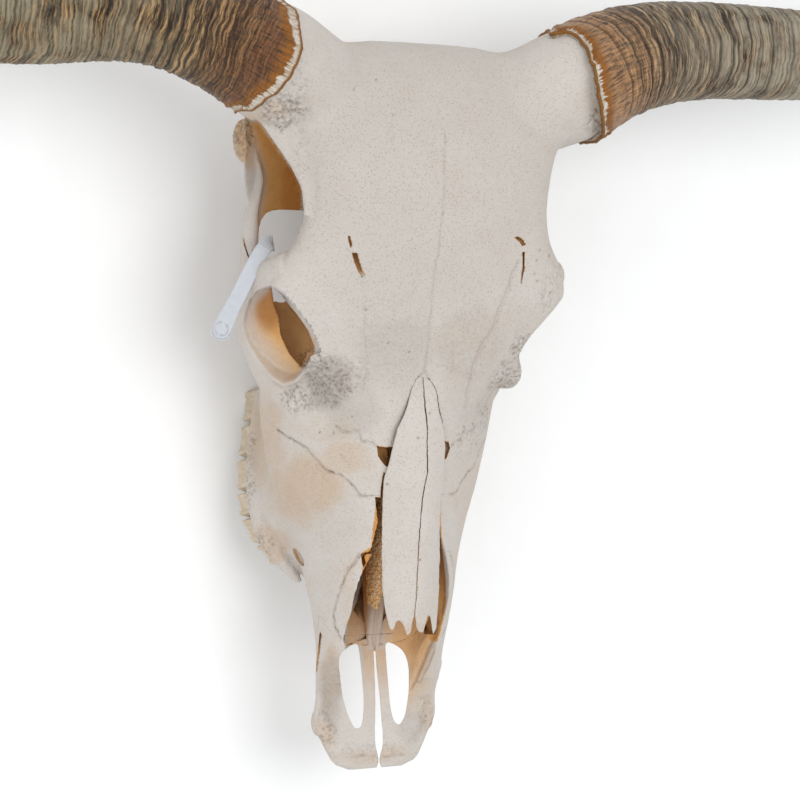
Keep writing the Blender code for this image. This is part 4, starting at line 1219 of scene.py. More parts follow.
def split_left_right(piece):
    """Halves a bone that still holds together across the midline."""
    half = SUTURE_GAP / 2
    corners = [(-half, -40), (half, -40), (half, 330), (-half, 330)]
    rings = [np.array([(x, y, z) for x, y in corners]) for z in (-40, 260)]
    combine(piece, [skin_rings("median_cut", rings)], "DIFFERENCE")
    return loose_parts(piece)


def name_bones(pieces):
    """Names the parted pieces by where their middles lie. Crumbs are dropped."""
    bones = {}
    for piece in pieces:
        x, y, _ = read_points(piece).mean(0)
        if len(piece.data.polygons) < 3000 / VOXEL**2:
            bpy.data.objects.remove(piece)
            continue
        bone = "cranium" if y > 290 else "maxilla" if y > 125 else "premaxilla"
        if bone != "cranium" and abs(x) < 8:
            bones.update(name_bones(split_left_right(piece)))
            continue
        if bone != "cranium":
            bone += "_right" if x < 0 else "_left"
        if bone not in bones:
            bones[bone] = piece
    return bones


jaw_line = np.vstack([SUTURES["upper_jaw_fork"], SUTURES["upper_jaw_suture"][1:]])[::-1, 1:]
muzzle_line = SUTURES["premaxilla_suture"][:, 1:]
print("jaw suture", np.round(jaw_line[[0, -1]]), "muzzle suture", np.round(muzzle_line[[0, -1]]))
combine(head, [suture_sheet("maxilla_cut", through(jaw_line, MAXILLA_REAR), 31)], "DIFFERENCE")
combine(head, [suture_sheet("premaxilla_cut", through(muzzle_line, PREMAXILLA_REAR), 32)], "DIFFERENCE")
bones = name_bones(loose_parts(head))
bones.update(nasals)
print({name: len(bone.data.polygons) for name, bone in bones.items()})

# %% [markdown]
# ## Cheek teeth
# Six teeth stand in each cheek: three small premolars, then three molars. Each crown is a column
# with folds down its outer side. The crowns are separate pieces, as they are in a real jaw.

# %% Teeth
TOOTH_FRONTS = [157.5, 175, 196, 216, 243, 271, 299]
TOOTH_MIDDLES = [59, 69.5, 73.5, 72.5, 68.5, 64]
TOOTH_WIDTHS = [15, 20, 23, 25, 24, 22]
TOOTH_SLANTS = [0.8, 0.4, 0.1, -0.05, -0.2, -0.15]
TOOTH_LAYERS = [(34, -9, 0.80), (27, -7, 0.86), (20, -5, 0.92), (13, -2.4, 0.97), (6, 0, 1.0), (3, 0.7, 0.99),
                (1.2, 1, 0.95), (0.2, 1, 0.88), (0.9, 1, 0.7), (1.8, 1, 0.45), (1.2, 1, 0.15)]


def cheek_tooth(index, side):
    """One folded crown, leaning a little outwards from its socket, with a worn dished top."""
    front, rear = TOOTH_FRONTS[index], TOOTH_FRONTS[index + 1]
    half = (rear - front) / 2
    sides = 72
    angles = 2 * math.pi * (np.arange(sides) + 0.5) / sides
    c, s = np.cos(angles), np.sin(angles)
    rings = []
    for z, lean, size in smooth_tooth_layers():
        x = np.sign(c) * np.abs(c) ** 0.5 * TOOTH_WIDTHS[index] / 2 * size
        y = np.sign(s) * np.abs(s) ** 0.4 * (half - 0.15) * (0.55 + 0.45 * size)
        folds = 1.3 * np.cos(3 * math.pi * y / half) + 0.35 * np.cos(8 * math.pi * y / half)
        x = x + np.where(c > 0, folds, 0.7 * folds * (-1 if index > 2 else 0.5)) * min(1, size * 1.1)
        x = x + TOOTH_MIDDLES[index] + lean + TOOTH_SLANTS[index] * y
        rings.append(np.column_stack([side * x, (front + rear) / 2 + y, np.full(sides, z)]))
    tooth = skin_rings(f"tooth_{'right' if side < 0 else 'left'}_{index + 1}", rings)
    points, normals = read_points(tooth), read_normals(tooth)
    bumps = 0.25 * rough(points * (1, 1, 0.4), 2.2, 60 + index)
    write_points(tooth, points + normals * bumps[:, None] * (points[:, 2:] > 3))
    return tooth


def smooth_tooth_layers():
    """The layers of a crown from root to worn top, with more between them."""
    keyed = smooth_rows([(k, *layer) for k, layer in enumerate(TOOTH_LAYERS)], 0.25)
    return keyed[:, 1:]


teeth = {side: [cheek_tooth(index, side) for index in range(6)] for side in (-1, 1)}
print("teeth:", sum(len(row) for row in teeth.values()))

# %% [markdown]
# ## Inside the nose
# The vomer is a thin keel along the floor of the nose. Beside it hang the conchae, scrolls of
# bone as fine as lace. Here each is one mass whose surface is pitted by cells of noise.

# %% Vomer and conchae


def vomer():
    bone = loft("vomer_bone", [
        (84, 4.2, 48, 45, 3, 0), (98, 6.2, 53, 46.5, 3, -0.1), (112, 7, 61, 46.5, 3, -0.1),
        (130, 7, 68, 46.5, 3, -0.1), (180, 6, 74, 47, 3, -0.1), (230, 6, 82, 60, 3, -0.1),
        (262, 5, 92, 76, 3, -0.1),
    ], step=2, sides=40)
    one_skin(bone, 0.9, 2)
    points, normals = read_points(bone), read_normals(bone)
    groove = -2.6 * np.exp(-(points[:, 0] / 1.5) ** 2) * ease(normals[:, 2], 0.2, 0.8)
    write_points(bone, points + normals * (groove + 0.25 * rough(points, 4, 40))[:, None])
    return bone


def concha(name, side):
    bone = sweep(name, [
        (14, 116, 86, 3, 9), (13.5, 132, 94, 4.5, 15), (14, 152, 101, 5, 20), (15, 180, 107, 6, 24),
        (16, 212, 113, 6, 23), (16, 236, 118, 5, 15),
    ], side)
    one_skin(bone, 0.6, 1)
    points, normals = read_points(bone), read_normals(bone)
    lace = np.clip(0.55 - cells(points, 2.8, 50 + side), 0, 1) * 4
    write_points(bone, points + normals * (0.8 * rough(points, 5, 52) - lace)[:, None])
    return bone


small = {
    "vomer": vomer(),
    "concha_right": concha("concha_right_bone", -1),
    "concha_left": concha("concha_left_bone", 1),
}
print("inner bones:", {name: len(bone.data.polygons) for name, bone in small.items()})

# %% [markdown]
# ## Horn sheaths
# A sheath is a hollow cone of keratin that grew from its base, so its surface is a stack of worn
# growth rings, crossed by fine fibres. Its rim is broken and curls over the bone, with a pale
# flaky lining and an amber lip. The rim's shape is found along the view: each line down the horn
# starts where it meets the rim that the photograph shows.

# %% Rims as the photograph shows them, in pixels
RIM = {
    -1: [(283, 0), (298, 12), (302, 30), (302.5, 55), (293, 77), (275, 95), (256, 110), (236, 111)],
    1: [(541, 41), (549, 32), (566, 31), (581, 39), (591, 58), (597, 84), (601, 108), (603, 131)],
}
RIM_SEARCH = (-34, 16)
COLLAR_END = 26.0
SHEATH_SIDES = 200
SHEATH_STEP = 1.0
TIP_SHORT = 7  # the sheath ends this far before the end of its line
FINE_RINGS = {-1: 3.6, 1: 5.4}  # usual distance between the small growth lines, in mm
RING_PLACES = {
    -1: [34, 52, 71, 88, 110, 127, 149, 170, 196, 221, 250, 284, 322, 366, 412],
    1: [13, 25, 38, 51, 63, 76, 93, 108, 113, 128, 147, 170, 190, 215, 243, 276, 312, 356, 404],
}


def ring_frame(direction):
    across = np.cross(direction, (0, 0, 1))
    across /= np.linalg.norm(across)
    return across, np.cross(across, direction)


def rim_start(side, angles):
    """Where along the horn its sheath begins, for each angle round it."""
    stations = np.linspace(*RIM_SEARCH, 101)
    centres, directions, radius = horn_line(side, stations)
    across, upright = ring_frame(directions[0])
    starts = np.full(len(angles), np.nan)
    for k, angle in enumerate(angles):
        out = math.cos(angle) * across + math.sin(angle) * upright
        spots = centres + radius[:, None] * out
        pixels, _ = to_picture(spots)
        if (out * (EYE - spots[0])).sum() < 0:
            continue
        away = line_distance(pixels, RIM[side])
        if away.min() < 3:
            starts[k] = stations[int(np.argmin(away))]
    known = np.flatnonzero(~np.isnan(starts))
    around = np.concatenate([known - len(angles), known, known + len(angles)])
    filled = np.interp(np.arange(len(angles)), around, np.tile(starts[known], 3))
    kernel = np.exp(-(np.arange(-8, 9) / 4) ** 2)
    padded = np.concatenate([filled[-8:], filled, filled[:8]])
    return np.convolve(padded, kernel / kernel.sum(), "valid")


def growth_lines(grown, side):
    """Depth of the growth lines, from 0 to 1, at each distance grown along the horn."""
    chance = np.random.default_rng(80 + side)
    cuts = np.zeros(len(grown))
    for k, place in enumerate(RING_PLACES[side]):
        strength = 0.7 + 0.3 * math.sin(7.1 * k)
        cuts = np.maximum(cuts, strength * ridge(grown, place, 1.3))
    place = 20.0
    while place < HORN_LENGTH:
        strength, width = chance.uniform(0.25, 0.95), chance.uniform(0.45, 0.9)
        near = abs(grown - place) < 4
        cuts[near] = np.maximum(cuts[near], strength * ridge(grown[near], place, width))
        place += FINE_RINGS[side] * chance.uniform(0.6, 1.5)
    return cuts


def horn_sheath(name, side):
    """The sheath as one closed shell, with its grain and zones kept as attributes."""
    angles = 2 * math.pi * np.arange(SHEATH_SIDES) / SHEATH_SIDES
    circle = np.column_stack([np.cos(angles), np.sin(angles), np.zeros(SHEATH_SIDES)])
    starts = rim_start(side, angles) + 1.3 * rough(circle * 43, 5, 70 + side)
    end = HORN_LENGTH - TIP_SHORT
    shares = np.linspace(0, 1, 40)[:, None]
    collar = starts + (COLLAR_END - starts) * shares
    body = np.repeat(np.arange(COLLAR_END + SHEATH_STEP, end, SHEATH_STEP)[:, None], SHEATH_SIDES, 1)
    stations = np.vstack([collar, body, np.full((1, SHEATH_SIDES), end)])
    lip = (stations - starts).ravel()
    points = np.empty(stations.shape + (3,))
    outs = np.empty(stations.shape + (3,))
    radii = np.empty(stations.shape)
    for k, angle in enumerate(angles):
        centres, directions, radii[:, k] = horn_line(side, stations[:, k])
        across = np.cross(directions, (0, 0, 1))
        across /= np.linalg.norm(across, axis=1)[:, None]
        outs[:, k] = math.cos(angle) * across + math.sin(angle) * np.cross(across, directions)
        points[:, k] = centres
    flat = np.stack([stations, np.cos(angles) * radii, np.sin(angles) * radii], 2).reshape(-1, 3)
    warp = 3.0 * noise(flat * (0.4, 1, 1), 26, 71) + 1.2 * noise(flat * (0.5, 1, 1), 9, 72)
    warp += 0.5 * noise(flat * (0.5, 1, 1), 3, 77)
    grown = flat[:, 0] + warp
    line = np.column_stack([grown, np.zeros(len(grown)), np.zeros(len(grown))])
    body_part = ease(lip, 8, 16) * (1 - ease(flat[:, 0], 380, 600))
    ridges = 0.6 * rough(line, 6.5, 73) + 0.3 * rough(line + flat * (0, 0.1, 0.1), 2.4, 74, 2)
    cuts = growth_lines(grown, side)
    chips = 0.4 * rough(flat, 7, 75)
    height = (ridges - 1.0 * cuts + chips) * body_part
    height += 1.1 * ridge(lip, 1.0, 0.9) - 1.0 * ridge(lip, 4.6, 2.4)
    height += 1.0 * ridge(lip, 9.5, 1.8) - 0.6 * (1 - ease(lip, 0, 1.0))
    flaky = 1 - ease(lip, 9, 13)
    height += flaky * (0.8 * rough(flat, 3.4, 76) - 0.9 * np.clip(0.5 - cells(flat, 3.0, 78), 0, 1))
    tip = np.sqrt(np.clip((end - stations) / 12, 0.0004, 1))
    size = radii * tip + height.reshape(radii.shape) * np.minimum(1, radii / 20) * tip
    surface = points + outs * size[..., None]
    inner_lip = points[0] + outs[0] * (radii[0] - 3.4)[:, None]
    inner_end = points[8] + outs[8] * (radii[8] - 4.5)[:, None]
    sheath = skin_rings(name, np.concatenate([[inner_end], [inner_lip], surface]))
    extra = 2 * SHEATH_SIDES
    inner = flat[:SHEATH_SIDES]
    grain = np.vstack([inner, inner, flat])
    grain[:, 0] = np.concatenate([np.zeros(extra), grown])
    zone = np.column_stack([
        np.concatenate([np.full(extra, 4.0), lip]), np.concatenate([np.zeros(extra), cuts]),
        np.concatenate([np.zeros(extra), flat[:, 0]]),
    ])
    for label, values in (("grain", grain), ("zone", zone)):
        layer = sheath.data.attributes.new(label, "FLOAT_VECTOR", "POINT")
        layer.data.foreach_set("vector", values.astype(np.float32).ravel())
    return sheath


horns = {
    "horn_right": horn_sheath("horn_right_sheath", -1),
    "horn_left": horn_sheath("horn_left_sheath", 1),
}
print("sheaths:", {name: len(horn.data.polygons) for name, horn in horns.items()}, "faces")

# %% [markdown]
# ## The strap tag
# A flat strap of pale plastic hangs from the bar behind the eye. It has ribs at its bend and a
# round end with a raised ring. The real one carries a number; this one is left blank.

# %% Strap
STRAP_PATH = [
    (-104, 372, 168), (-110, 370, 175), (-116, 364, 178), (-121, 356, 176), (-126, 346, 171),
    (-131, 335, 165), (-137, 323, 159), (-142, 312, 154),
]
STRAP_FACING = np.array([-0.39, -0.18, 0.9])
STRAP_WIDTH = 11.0
STRAP_THICKNESS = 1.1
STRAP_END_RADIUS = 7.6


def strap_frame():
    points = smooth_rows([(k, *p) for k, p in enumerate(STRAP_PATH)], 0.06)[:, 1:]
    along, across, facing = path_frames(points, STRAP_FACING)
    return points, along, across, facing


def strap_ribbon():
    """The strip: a flat section with rounded edges, widening to its round end."""
    points, along, across, facing = strap_frame()
    lengths = np.concatenate([[0], np.cumsum(np.linalg.norm(np.diff(points, axis=0), axis=1))])
    corner = np.linspace(0, 2 * math.pi, 29)[:-1]
    wide = np.sign(np.cos(corner)) * np.abs(np.cos(corner)) ** 0.35
    thick = np.sign(np.sin(corner)) * np.abs(np.sin(corner)) ** 0.6
    end = lengths[-1] + 0.35 * STRAP_END_RADIUS
    rings = []
    for k in range(len(points)):
        rib = 0.5 * max(0.0, math.sin(2 * math.pi * lengths[k] / 2.2)) * (3 < lengths[k] < 17)
        flare = 1 + 0.18 * ease(np.array([lengths[k]]), end - 24, end - 6)[0]
        rings.append(points[k] + np.outer(wide * STRAP_WIDTH / 2 * flare, across[k])
                     + np.outer(thick * (STRAP_THICKNESS / 2 + rib * (thick > 0)), facing[k]))
    for share in np.linspace(0.05, 0.999, 16):
        reach = STRAP_END_RADIUS * math.sin(share * math.pi / 2)
        width = STRAP_WIDTH / 2 * 1.18 * math.cos(share * math.pi / 2)
        rings.append(points[-1] + along[-1] * reach + np.outer(wide * width, across[-1])
                     + np.outer(thick * STRAP_THICKNESS / 2, facing[-1]))
    return skin_rings("strap_ribbon", rings)


def ring_bead(name, radius, thickness, lift, from_angle, to_angle):
    """A round bead bent along part of a circle on the strap's end."""
    points, along, across, facing = strap_frame()
    centre = points[-1] + along[-1] * 0.5
    turns = np.radians(np.linspace(from_angle, to_angle, 60))
    section = 2 * math.pi * np.arange(10) / 10
    rings = []
    for turn in turns:
        out = math.cos(turn) * along[-1] + math.sin(turn) * across[-1]
        middle = centre + out * radius + facing[-1] * lift
        wall = np.outer(np.cos(section), out) + np.outer(np.sin(section), facing[-1])
        rings.append(middle + thickness * wall)
    return skin_rings(name, rings)


def tag_strap():
    raised = ring_bead("raised_ring", 5.0, 0.32, 0.55, -150, 150)
    cup = ring_bead("cup_rim", 7.7, 0.7, -0.7, -75, 75)
    return combine(strap_ribbon(), [raised, cup], "UNION")


tag = tag_strap()
tag.name = "tag_strap_plastic"
print("strap:", len(tag.data.polygons), "faces")

# %% [markdown]
# ## Where the bone is brown
# Bleach reaches the open surfaces of a skull first, so the hollows stay brown; this brown also carries
# painted shade and painted bounce light in them. To find them, rays leave sample points in all outward
# directions: the fewer escape, the deeper the hollow.

# %% Openness of the surface
RAY_REACH = 110
SAMPLES = 26000


def openness_samples(objects):
    """Sample spots a little above the surface, and the share of rays that leave each."""
    points = np.vstack([read_points(obj) for obj in objects])
    normals = np.vstack([read_normals(obj) for obj in objects])
    faces, start = [], 0
    for obj in objects:
        faces += [[start + v for v in polygon.vertices] for polygon in obj.data.polygons]
        start += len(obj.data.vertices)
    tree = BVHTree.FromPolygons(points.tolist(), faces)
    chance = np.random.default_rng(5)
    pick = chance.choice(len(points), min(SAMPLES, len(points)), replace=False)
    rays = chance.normal(size=(18, 3))
    rays /= np.linalg.norm(rays, axis=1)[:, None]
    spots = points[pick] + normals[pick] * 1.2
    share = np.zeros(len(pick))
    for k, (spot, normal) in enumerate(zip(spots, normals[pick])):
        origin = Vector(spot)
        for ray in rays:
            way = ray + normal * 1.02
            if tree.ray_cast(origin, Vector(way), RAY_REACH)[0] is None:
                share[k] += 1 / len(rays)
    return points[pick] + normals[pick] * 4, share


every_bone = {**bones, **small}
sample_spots, sample_share = openness_samples(list(every_bone.values()))
nearest_sample = KDTree(len(sample_spots))
for number, spot in enumerate(sample_spots):
    nearest_sample.insert(spot, number)
nearest_sample.balance()
print("openness from", round(float(sample_share.min()), 2), "to", round(float(sample_share.max()), 2))


def openness(points, normals):
    """Openness at each point, blended from its nearest samples."""
    values = np.empty(len(points))
    for k, spot in enumerate(points + normals * 4):
        found = nearest_sample.find_n(spot, 7)
        weights = [1 / (away * away + 6) for _, _, away in found]
        values[k] = sum(w * sample_share[n] for w, (_, n, _) in zip(weights, found)) / sum(weights)
    return values


# %% [markdown]
# ## Tones of the bone
# Four numbers ride on every vertex: how tan, how grey (partly painted shade), how stained (partly painted
# shade in hollows), and how dark a suture line or a painted shade in a hole, pin hole, groove or the orbit
# is. Three more say how porous it is, how deep its brown and painted shade are, and whether the camera sees
# it. The bone material mixes its colours by them.

# %% Tone of each vertex
TAN_PATCHES = [
    ((303, 488), (52, 46), 0.6), ((262, 440), (30, 60), 0.5), ((242, 140), (18, 34), 0.8),
    ((412, 668), (30, 60), 0.5), ((270, 545), (26, 26), 0.5), ((320, 735), (16, 26), 0.4),
    ((425, 715), (16, 26), 0.35), ((330, 430), (40, 20), 0.2), ((470, 500), (16, 60), 0.2),
    ((266, 112), (26, 16), 0.35), ((606, 120), (14, 26), 0.4), ((348, 590), (14, 34), 0.25),
    ((350, 458), (34, 18), 0.4), ((470, 350), (44, 56), 0.1), ((331, 680), (14, 46), 0.5),
    ((370, 755), (50, 12), 0.3),
]
# Grey patches: partly grey bone, partly painted shade on concave parts such as the lower forehead between the
# eyes.
GREY_AND_SHADE_PATCHES = [
    ((330, 385), (34, 36), 0.7), ((352, 400), (40, 50), 0.3), ((332, 690), (16, 44), 0.55),
    ((408, 725), (20, 26), 0.3), ((425, 170), (190, 220), 0.27), ((500, 360), (60, 120), 0.2),
    ((472, 345), (56, 62), 0.3), ((400, 345), (50, 40), 0.36), ((400, 350), (60, 60), 0.3),
    ((470, 380), (40, 60), 0.25), ((300, 110), (30, 22), 0.35), ((340, 520), (34, 34), 0.12),
    ((526, 380), (20, 40), 0.3), ((300, 150), (16, 30), 0.15),
]


FOSSA_VIEW = [
    (249, 122), (256, 119), (276, 145), (290, 165), (301, 187), (300, 215), (290, 236), (279, 247),
    (257, 250), (257, 220), (263, 190), (260, 165), (251, 140),
]
ARCH_INNER = [(247, 120), (249.5, 130), (255.7, 152), (262, 171), (262, 190), (258, 214), (257, 245)]
ORBIT_VIEW = RIGHT_ORBIT[:-1] + [(u - 2.5, v + 2) for u, v in RIGHT_ORBIT_ROOF[:-1]]
ORBIT_RIM_INNER = [
    (262, 287), (250, 299), (245, 313), (244, 327), (247, 338), (254, 352), (262, 364), (270, 375),
    (280, 384),
]
ORBIT_SHADE = ((268, 308), (15, 32))
ORBIT_LIT_FROM = (300, 352)  # rows between which the orbit's wall turns from brown to cream
NOSE_FADE = (575, 650)
BARS_FADE = (640, 712)
WALL_FADE = (640, 705)
ORBIT_FOLD = [(271, 286), (274, 303), (279, 318), (280, 335), (290, 354), (302, 366)]
NOSE_LEFT = [
    (376, 500), (396, 500), (396, 636), (385, 645), (357, 645), (344, 645), (347, 623), (357, 601),
    (363, 578), (361, 553), (371, 547),
]
NOSE_BARS = [(362, 636), (395, 636), (390, 715), (366, 715)]
NOSE_WALL = [(396, 618), (441, 590), (437, 640), (420, 690), (408, 712), (410, 668), (404, 652), (392, 644)]
RIGHT_SLIT = [(434, 500), (440, 500), (442, 545), (446, 580), (446, 605), (443, 622), (437, 642), (429, 640)]
CREST = [(368, 592), (384, 592), (386, 650), (366, 650)]
MASTOID = [(234, 116), (255, 115), (253, 136), (260, 166), (256, 172), (244, 158), (235, 132)]


def inside(pixels, outline):
    """1 for pixels inside the outline, else 0."""
    outline = np.array(outline, float)
    found = np.zeros(len(pixels), bool)
    u, v = pixels.T
    for (u0, v0), (u1, v1) in zip(outline, np.roll(outline, -1, 0)):
        if v0 == v1:
            continue
        crosses = (v0 > v) != (v1 > v)
        found ^= crosses & (u < u0 + (v - v0) / (v1 - v0) * (u1 - u0))
    return found.astype(float)


def seen_stain_and_shade(pixels, seen):
    """Strength and depth of the brown in the hollows that the photograph looks into: part stain, part painted
    shade that deepens into them, and painted light near the orbit's lower rim.
    """
    strength, deep = np.zeros(len(pixels)), np.full(len(pixels), 0.6)

    def add(area, amount, dark):
        chosen = (area * seen > 0.5) & (amount > strength)
        strength[chosen] = amount[chosen]
        deep[chosen] = dark[chosen] if np.ndim(dark) else dark

    rows = pixels[:, 1]
    # The fossa's brown grows darker away from the arch: painted shade.
    from_arch = line_distance(pixels, ARCH_INNER)
    add(inside(pixels, FOSSA_VIEW), 0.35 + 0.65 * ease(from_arch, 0, 9), 0.3 + 0.6 * ease(from_arch, 4, 30))
    # The orbit's wall: painted shade, deep brown, high up and past the fold, and painted light, cream, near
    # its lower rim.
    from_rim = line_distance(pixels, ORBIT_RIM_INNER)
    high = 1 - ease(rows, *ORBIT_LIT_FROM)
    past_fold = ease(pixels[:, 0] - np.interp(rows, *np.array(ORBIT_FOLD)[:, ::-1].T), -1.5, 1.5)
    cream = (1 - ease(from_rim, 3, 12 + 24 * (1 - high))) * (1 - past_fold)
    shade = np.maximum(0, high * (1 - past_fold) + 0.25 * ease(from_rim, 8, 30))
    add(inside(pixels, ORBIT_VIEW), 1 - 0.8 * cream - 0.1 * past_fold, shade)
    for outline in (TEAR_GAP, CRACK_GAP, SIDE_GAP, LEFT_TEAR_GAP, LEFT_SIDE_GAP, *SMALL_HOLES.values()):
        add(inside(pixels, outline), np.ones(len(pixels)), 0.3)
    # The nose openings: stain and painted shade, fading downwards.
    downward = ease(rows, *NOSE_FADE)
    add(inside(pixels, NOSE_LEFT), 1 - 0.45 * downward, 0.75 - 0.5 * downward)
    add(inside(pixels, NOSE_BARS), 0.5 * (1 - ease(rows, *BARS_FADE)), 0.2)
    from_edge = ease(line_distance(pixels, NOSE_WALL[1:5]), 0, 9)
    add(inside(pixels, NOSE_WALL), from_edge * (0.75 - 0.5 * ease(rows, *WALL_FADE)), 0.35)
    add(inside(pixels, RIGHT_SLIT), np.ones(len(pixels)), 0.7)
    strength = strength * (1 - 0.6 * inside(pixels, CREST))
    add(inside(pixels, MASTOID), np.full(len(pixels), 0.25), 0.3)
    return strength, deep


def tone(points, normals, hollow):
    pixels, seen = facing_camera(points, normals)
    wander = shaken(points)
    blur = np.stack([noise(points, 11, 23), noise(points, 11, 24)], 1) * 6
    tan = np.zeros(len(points))
    grey = np.zeros(len(points))
    for centre, radii, strength in TAN_PATCHES:
        tan = np.maximum(tan, strength * patch(pixels + blur, centre, radii))
    for centre, radii, strength in GREY_AND_SHADE_PATCHES:
        grey = np.maximum(grey, strength * patch(pixels + blur, centre, radii) * seen)
    tan = np.clip(tan * seen + (1 - seen) * 0.25 + 0.10 * rough(points, 14, 25), 0, 1)
    # Brown where little light gets in: part stain, part painted shade.
    shut = 0.9 * (1 - ease(openness(points, normals) + 0.04 * noise(points, 8, 26), 0.16, 0.5))
    deep = 0.6 + 0.3 * noise(points, 12, 33)
    if hollow:
        strength, depth = seen_stain_and_shade(pixels, seen)
        facing = seen > 0.5
        shut = np.where(facing, np.maximum(strength, 0.35 * shut * (strength > 0)), shut)
        deep = np.where(strength > 0, depth + 0.12 * noise(points, 6, 34), deep)
    else:
        shut = shut * (1 - seen)
    dark = np.zeros(len(points))
    # Suture brown, and painted shade along grooves, folds and hollows.
    for line, width, _, darkness in MARKS.values():
        near = ridge(line_distance(pixels + wander, line), 0, max(width, LEAST_MARK))
        dark = np.maximum(dark, seen * darkness * near * (0.65 + 0.35 * noise(points, 4, 27)))
    for away, _, darkness in paired_lines(points):
        dark = np.maximum(dark, darkness * ridge(away, 0, 1) * (0.7 + 0.3 * noise(points, 4, 27)))
    # Painted shade inside the small holes and slits.
    for outline in SMALL_HOLES.values():
        dark = np.maximum(dark, 0.6 * seen * inside(pixels, outline))
    # A painted shade spot deep in the orbit.
    dark = np.maximum(dark, 0.28 * seen * patch(pixels, *ORBIT_SHADE) * inside(pixels, ORBIT_VIEW))
    # Painted shade in the pin holes.
    for centre in PIN_HOLES:
        near = ridge(np.linalg.norm(pixels - centre, axis=1), 0, PIN_WIDTH)
        dark = np.maximum(dark, seen * 0.8 * near)
    tones = np.column_stack([tan, grey, np.clip(shut, 0, 1), np.clip(dark, 0, 1)])
    # Porosity, depth of the brown and its painted shade, and whether the camera sees the point.
    pores_and_shade_depth = np.column_stack([np.clip(ruggedness(points, pixels, seen), 0, 1), np.clip(deep, 0, 1), seen])
    return tones, pores_and_shade_depth


def paint(obj, hollow):
    tones, pores_and_shade_depth = tone(read_points(obj), read_normals(obj), hollow)
    for label, kind, field, values in (
        ("tone", "FLOAT_COLOR", "color", tones), ("pores_and_shade_depth", "FLOAT_VECTOR", "vector", pores_and_shade_depth),
    ):
        layer = obj.data.attributes.new(label, kind, "POINT")
        layer.data.foreach_set(field, values.astype(np.float32).ravel())
    return tones.mean(0)


for name, bone in every_bone.items():
    print(name, "tan, grey, stain, line:", np.round(paint(bone, not name.startswith("nasal")), 2))

# %% [markdown]
# ## Colour and node helpers
# Colours are picked as screen values and turned to linear light once. One function adds a node:
# a socket given as a value is linked, anything else is set. The short ones below it stand for
# the nodes that every material uses.

# %% Helpers for materials


def colour(code):
    """A linear colour from an sRGB hex code."""
    parts = [int(code[k:k + 2], 16) / 255 for k in (1, 3, 5)]
    return (*[c / 12.92 if c <= 0.04045 else ((c + 0.055) / 1.055) ** 2.4 for c in parts], 1.0)


def add_node(tree, kind, inputs=None, **settings):
    made = tree.nodes.new(kind)
    for key, value in settings.items():
        setattr(made, key, value)
    for key, value in (inputs or {}).items():
        if isinstance(value, bpy.types.NodeSocket):
            tree.links.new(value, made.inputs[key])
        else:
            made.inputs[key].default_value = value
    return made


def new_material(name):
    material = bpy.data.materials.new(name)
    material.use_nodes = True
    tree = material.node_tree
    return material, tree, tree.nodes["Principled BSDF"]


def per_mm(size):
    """Texture scale that gives lumps of this size in mm, on coordinates in metres."""
    return 1000 / size


def clouds(tree, place, scale, detail, roughness=0.5):
    inputs = {"Vector": place, "Scale": scale, "Detail": detail, "Roughness": roughness}
    return add_node(tree, "ShaderNodeTexNoise", inputs).outputs["Fac"]


def cell_distance(tree, place, size, feature="F1"):
    inputs = {"Vector": place, "Scale": per_mm(size)}
    return add_node(tree, "ShaderNodeTexVoronoi", inputs, feature=feature).outputs["Distance"]


def stretched(tree, place, scale):
    return add_node(tree, "ShaderNodeMapping", {"Vector": place, "Scale": scale}).outputs[0]


def ramp(tree, value, low, high, start=0.0, end=1.0):
    """Start where the value is low, end where it is high, and in proportion between."""
    inputs = {"Value": value, "From Min": low, "From Max": high, "To Min": start, "To Max": end}
    return add_node(tree, "ShaderNodeMapRange", inputs).outputs[0]


def blend(tree, share, first, second):
    """The first colour turning into the second as share grows. Each is a hex code or a socket."""
    first, second = (colour(c) if isinstance(c, str) else c for c in (first, second))
    return add_node(tree, "ShaderNodeMix", {0: share, 6: first, 7: second}, data_type="RGBA").outputs[2]


def maths(tree, operation, *values, clamp=False):
    made = add_node(tree, "ShaderNodeMath", dict(enumerate(values)), operation=operation, use_clamp=clamp)
    return made.outputs[0]


def finish_surface(tree, shader, base, height, strength, depth, ior):
    """Base colour, a bump of this depth in metres, and the refractive index."""
    tree.links.new(base, shader.inputs["Base Color"])
    bump = add_node(tree, "ShaderNodeBump", {"Height": height, "Strength": strength, "Distance": depth})
    tree.links.new(bump.outputs["Normal"], shader.inputs["Normal"])
    shader.inputs["IOR"].default_value = ior


print("white card is", [round(c, 2) for c in colour("#fafafa")[:3]])

# %% [markdown]
# ## Bleached bone
# Dry bone is matt, with a faint grain and pores. Bleaching leaves it chalky, warm where it is thick and grey
# where it is porous, with painted shade in the grey of concave parts and in the pits, and amber brown in the
# hollows that the bleach missed, with painted shade there too.

# %% Bone material
BONE_WHITE = "#c8c3be"
BONE_CREAM = "#c4bab0"
BONE_TAN = "#bc9f80"
BONE_GREY_AND_SHADE = "#a2988f"
# Hollow browns: stain, with painted bounce light in the pale one and painted shade in the deep one.
STAIN_PALE_AND_LIT = "#dcab69"
STAIN_DEEP_AND_SHADED = "#b8782f"
SUTURE_AND_SHADE_BROWN = "#67482b"
PORE_SHADE_GREY = "#6e6359"
BONE_IOR = 1.52
PORE_WARP = (0.004, 0.004, 0.004)  # metres


